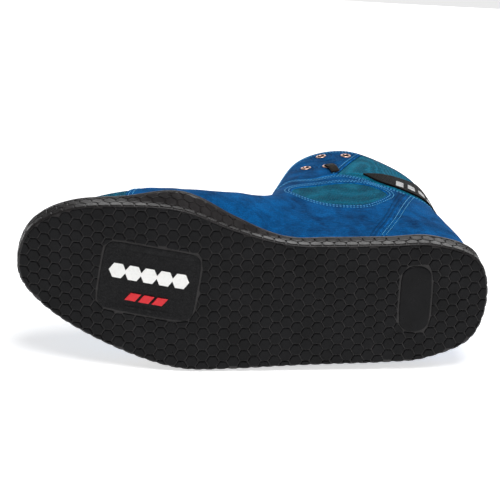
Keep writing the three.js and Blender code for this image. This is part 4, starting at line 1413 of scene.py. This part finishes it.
for (word, row), places in eyeletPlaces.items():
    for k, place in enumerate(places):
        body = "flap_" + word if row == "flap" else "boot"
        ringPiece(f"{row}Ring_{word}_{k + 1}", place, f"{row}_eyelet_{word}_{k + 1}", body)
print("eyelets ready")

# ---- laces

laceSize = {"width": 6.0, "thick": 1.1, "lift": 0.6, "pull": 0.42, "pinch": 0.62, "suedeTop": 2.3,
            "flangeThick": 0.7}


def laceRibbon(name, points, ups, widths, body, node):
    # a flat woven lace with round edges along a line of points
    points, ups = np.array(points), unit(np.array(ups))
    ahead = unit(np.gradient(points, axis=0))
    across = unit(np.cross(ups, ahead))
    up = np.cross(ahead, across)
    s = np.concatenate(([0], np.cumsum(np.linalg.norm(np.diff(points, axis=0), axis=1))))
    count = 20
    rounds = np.arange(count) / count * 2 * math.pi
    body3, along, side = [], [], []
    for p, a, n, w, d in zip(points, across, up, widths, s):
        for angle in rounds:
            x = np.sign(math.cos(angle)) * abs(math.cos(angle)) ** 0.6 * w / 2
            z = np.sign(math.sin(angle)) * abs(math.sin(angle)) ** 0.8 * laceSize["thick"] / 2
            z *= 1 + 0.12 * math.cos(2 * math.pi * x / 2)
            body3.append(p + a * x + n * (z + laceSize["thick"] / 2))
            along.append(d)
            side.append(x)
    faces = [(r * count + k, r * count + (k + 1) % count, (r + 1) * count + (k + 1) % count,
              (r + 1) * count + k)
             for r in range(len(points) - 1) for k in range(count)]
    last = (len(points) - 1) * count
    faces += [tuple(range(count - 1, -1, -1)), tuple(range(last, last + count))]
    return addPiece(name, body3, faces, laceWeave, body, [node], {"along": along, "across": side})


def smooth3(points, count):
    # an even run of points along a smooth curve through the given ones
    p = np.array(points, float)
    padded = np.vstack((2 * p[0] - p[1], p, 2 * p[-1] - p[-2]))
    t = np.linspace(0, len(p) - 1 - 1e-6, 400)
    i = np.floor(t).astype(int)
    f = (t - i)[:, None]
    a, b, c3, d = (padded[i + k] for k in range(4))
    line = b + 0.5 * f * (c3 - a + f * (2 * a - 5 * b + 4 * c3 - d + f * (3 * (b - c3) + d - a)))
    s = np.concatenate(([0], np.cumsum(np.linalg.norm(np.diff(line, axis=0), axis=1))))
    even = np.linspace(0, s[-1], count)
    return np.column_stack([np.interp(even, s, line[:, k]) for k in range(line.shape[1])])


laceOffset = laceSize["suedeTop"] + laceSize["flangeThick"] + laceSize["lift"]


def crossLace(name, start, end, layer, node):
    ends = [(upperPoint(*place)[0], upperNormal(*place)[0]) for place in (start, end)]
    (a, aUp), (b, bUp) = ends
    span = b - a
    reach = laceSize["pull"] * np.linalg.norm(span)
    pull = lambda up: unit((span - up * (span @ up))[None])[0] * reach
    first, last = a + aUp * laceOffset, b + bUp * laceOffset
    mid1, mid2 = first + pull(aUp), last - pull(bUp)
    t = np.linspace(0, 1, 40)[:, None]
    arch = first * (1 - t) ** 3 + mid1 * 3 * t * (1 - t) ** 2 + mid2 * 3 * t * t * (1 - t) + last * t ** 3
    lift = layer * np.sin(t * math.pi) * (laceSize["thick"] + 0.3)
    arch += unit((aUp + bUp)[None]) * lift
    ups = aUp * (1 - t) + bUp * t
    # each end turns down into its eyelet
    inside = [(-1.8, 0.0), (-0.9, 0.25), (0.2, 0.75)]
    startRun = [a + aUp * (1.2 + z) + pull(aUp) / reach * x for z, x in inside]
    endRun = [b + bUp * (1.2 + z) - pull(bUp) / reach * x for z, x in reversed(inside)]
    keep = slice(3, -3)
    path = smooth3(np.vstack((startRun, arch[keep], endRun)), 90)
    upRows = smooth3(np.vstack((-pull(aUp)[None].repeat(2, 0) / reach + aUp * 0.6, aUp[None],
                                ups[keep], bUp[None],
                                pull(bUp)[None].repeat(2, 0) / reach + bUp * 0.6)), 90)
    away = np.minimum(np.linalg.norm(path - a, axis=1), np.linalg.norm(path - b, axis=1))
    opened = (1 - laceSize["pinch"]) * np.clip((away - 2) / 6, 0, 1)
    widths = laceSize["width"] * (laceSize["pinch"] + opened)
    laceRibbon(name, path, upRows, widths, "boot", node)


innerThroat, outerThroat = eyeletPlaces[("medial", "throat")], eyeletPlaces[("lateral", "throat")]
crossLace("laceBar", innerThroat[0], outerThroat[0], 0, "lace_bar")
crossLace("laceCrossLow", innerThroat[1], outerThroat[2], 0, "lace_cross_1")
crossLace("laceCrossHigh", outerThroat[1], innerThroat[2], 2, "lace_cross_2")


def hangingLace(word, side):
    # comes out of the second flap eyelet and lies down the flap to the quarter's topline
    y, z = eyelet["flap"][1]
    t = np.linspace(0, 1, 30)
    lowZ = q + laceSize["width"] / 2
    u, h = placeOn(side, y + 1.0 + 2.5 * t, z - 1.5 - t * (z - 1.5 - lowZ))
    normals = upperNormal(u, h)
    lift = laceOffset - 1.3 + 1.2 * np.sin(t * math.pi) + 0.5 * (1 - t)
    lying = upperPoint(u, h) + normals * lift[:, None]
    place = eyeletPlaces[(word, "flap")][1]
    middle, normal = upperPoint(*place)[0], upperNormal(*place)[0]
    down = unit((lying[-1] - lying[0])[None])[0]
    inside = np.array([middle + normal * height + down * slide for height, slide in
                       ((-1.6, -0.2), (0.2, -0.1), (1.8, 0.3))])
    path = smooth3(np.vstack((inside, lying[2:])), 70)
    upRows = smooth3(np.vstack((-down + normal * 0.3, -down + normal * 0.8, normal - 0.4 * down,
                                normals[2:])), 70)
    s = np.linspace(0, 1, 70)
    opened = (1 - laceSize["pinch"]) * np.clip((s - 0.12) / 0.3, 0, 1)
    widths = laceSize["width"] * (laceSize["pinch"] + opened)
    laceRibbon("laceEnd_" + word, path, upRows, widths, "flap_" + word, "lace_end_" + word)


for word, side in sides:
    hangingLace(word, side)
print("laces ready")

# ---- the band round the heel collar, its marks and the collar's binding

bandSize = {"low": 1.75, "high": 2.95, "marks": [9.15, 9.5, 9.85, 10.2],
            "length": 0.2, "tall": 12, "slant": 0.12,
            "first": c + 14, "step": 3, "raise": 0.45}


def bandField(data):
    lower = leftOf(bandLower, 1)(data)
    above = leftOf(bandUpper, -1)(data)
    return np.minimum(lower, above)


upperPiece("ankleBandTape", skin, [bandField, belowTop(-1.5)], bandSize["low"],
           bandSize["high"], blackTape, "boot",
           ["ankle_band"], round=0.5)


def bandMark(name, side, station, middle, node):
    a, b = np.meshgrid(np.linspace(-0.5, 0.5, 9), np.linspace(-0.5, 0.5, 13), indexing="ij")
    s = station + a.ravel() * bandSize["length"] + b.ravel() * bandSize["slant"]
    u = stationU(side, s)
    h = shareAt(u, middle + b.ravel() * bandSize["tall"])
    edge = np.minimum(0.5 - np.abs(a.ravel()), 0.5 - np.abs(b.ravel())) > 0.01
    outer = offsetPoint(u, h, bandSize["high"] + np.where(edge, bandSize["raise"], 0.15))
    inner = offsetPoint(u, h, np.full(len(u), bandSize["high"] - 0.2))
    points = np.vstack((outer, inner))
    n, faces = 13, []
    index = lambda i, j, k: k * 117 + i * n + j
    for i in range(8):
        for j in range(12):
            quad = (index(i, j, 0), index(i + 1, j, 0), index(i + 1, j + 1, 0), index(i, j + 1, 0))
            faces.append(quad if side > 0 else quad[::-1])
            quad = (index(i, j, 1), index(i, j + 1, 1), index(i + 1, j + 1, 1), index(i + 1, j, 1))
            faces.append(quad if side > 0 else quad[::-1])
    rim = [(i, 0) for i in range(8)] + [(8, j) for j in range(12)] + [(i, 12) for i in range(8, 0, -1)]
    rim += [(0, j) for j in range(12, 0, -1)]
    for (i, j), (k, l) in zip(rim, rim[1:] + rim[:1]):
        quad = (index(i, j, 1), index(k, l, 1), index(k, l, 0), index(i, j, 0))
        faces.append(quad if side > 0 else quad[::-1])
    addPiece(name, points, faces, whiteTape, "boot", [node])


for word, side in sides:
    for k, station in enumerate(bandSize["marks"]):
        bandMark(f"bandMark_{word}_{k + 1}", side, station, bandSize["first"] + bandSize["step"] * k,
                 f"band_mark_{word}_{k + 1}")


def tube(name, path, radius, look, body, node):
    ahead = unit(np.gradient(path, axis=0))
    aside = unit(np.cross(ahead, (0.0, 0.0, 1.0)))
    up = np.cross(aside, ahead)
    count, points, faces = 14, [], []
    for k, p in enumerate(path):
        taper = min(1.0, 0.35 + 0.3 * min(k, len(path) - 1 - k))
        for i in range(count):
            angle = i / count * 2 * math.pi
            points.append(p + (aside[k] * math.cos(angle) + up[k] * math.sin(angle)) * radius * taper)
    for r in range(len(path) - 1):
        for i in range(count):
            j = (i + 1) % count
            faces.append((r * count + j, r * count + i, (r + 1) * count + i, (r + 1) * count + j))
    last = (len(path) - 1) * count
    faces += [tuple(range(count)), tuple(range(last + count - 1, last - 1, -1))]
    return addPiece(name, points, faces, look, body, node)


binding = {"radius": 1.7, "station": 8.25}
u = np.linspace(binding["station"], around - binding["station"], 220)
rimPath = offsetPoint(u, 1.0, np.full(len(u), -0.6))
rimPath[:, 2] += 0.2
tube("collarBindingRoll", rimPath, binding["radius"], bindingCloth, "boot", ["collar_binding"])

# ---- the tongue: one padded piece in place of both tongue parts

tongueRows = [(yAt(-0.29), bootSize["ball"] - 8, 14, 5, 7), (yAt(-0.08), bootSize["instep"] - 5, 19, 8, 4),
              (yAt(0.065), t - 6, 24, 15, 2), (yAt(0.13), (t + bootSize["height"]) / 2 - 12, 29, 21, 1),
              (yAt(0.19), bootSize["height"] - 8, 33, 25, 0), (yAt(0.22), bootSize["height"] + 8, 32, 24, 0)]
tongueSize = {"sweep": 1.05, "thick": 5.0, "channel": 11.0, "puff": 0.9, "split": t + 8}


def tongueShape():
    rowsT = np.array(tongueRows, float)
    padded = np.vstack((rowsT[:1], rowsT, rowsT[-1:]))
    across, up = 61, 150
    a, v = np.meshgrid(np.linspace(-1, 1, across), np.linspace(0, 1, up), indexing="ij")
    a, v = a.ravel(), v.ravel()

    def at(share):
        w = np.clip(share, 0, 1) * (len(rowsT) - 1)
        i = np.minimum(np.floor(w).astype(int), len(rowsT) - 2)
        f = (w - i)[:, None]
        p0, p1, p2, p3 = (padded[i + k] for k in range(4))
        return p1 + 0.5 * f * (p2 - p0 + f * (2 * p0 - 5 * p1 + 4 * p2 - p3 + f * (3 * (p1 - p2) + p3 - p0)))

    here, ahead, before = at(v), at(v + 0.01), at(v - 0.01)
    way = unit(ahead[:, :2] - before[:, :2])
    length = np.linalg.norm(rowsT[-1, :2] - rowsT[0, :2]) * 1.05

    def place(depth):
        angle = a * tongueSize["sweep"]
        share = (1 - np.cos(angle)) / (1 - math.cos(tongueSize["sweep"]))
        inward = here[:, 3] * share + depth * np.cos(angle)
        x = here[:, 2] * np.sin(angle) / math.sin(tongueSize["sweep"]) - depth * np.sin(angle)
        return np.column_stack((here[:, 4] + x, here[:, 0] + way[:, 1] * inward,
                                here[:, 1] - way[:, 0] * inward))

    edge = np.minimum((1 - np.abs(a)) * 26, np.minimum(v, 1 - v) * length)
    crown = np.sqrt(1 - (1 - np.clip(edge / 3.2, 0, 1)) ** 2)
    channels = np.abs(np.sin(v * length / tongueSize["channel"] * math.pi)) ** 0.5
    inner = np.clip((edge - 5) / 4, 0, 1)
    full = tongueSize["thick"] * (1 - 0.5 * a ** 2)
    swell = tongueSize["puff"] * (channels * inner - 0.75 * inner)
    outer = place(full / 2 - (full / 2 + swell) * crown)
    back = place(full / 2 + full / 2 * crown)
    rim = edge < 1e-6
    index = np.where(rim, np.arange(len(a)), 0)
    index[~rim] = len(a) + np.arange((~rim).sum())
    faces = []
    for i in range(across - 1):
        for j in range(up - 1):
            quad = (i * up + j, (i + 1) * up + j, (i + 1) * up + j + 1, i * up + j + 1)
            faces.append(quad)
            faces.append(tuple(int(index[k]) for k in reversed(quad)))
    return np.vstack((outer, back[~rim])), faces, np.concatenate((edge, edge[~rim]))


points, faces, edge = tongueShape()
tonguePad = addPiece("tonguePad", points, faces, teal, None, ["tongue_base", "tongue_top"],
                     {"edgeDistance": edge})
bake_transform(tonguePad)
print("tongue ready")
print("boot finished")
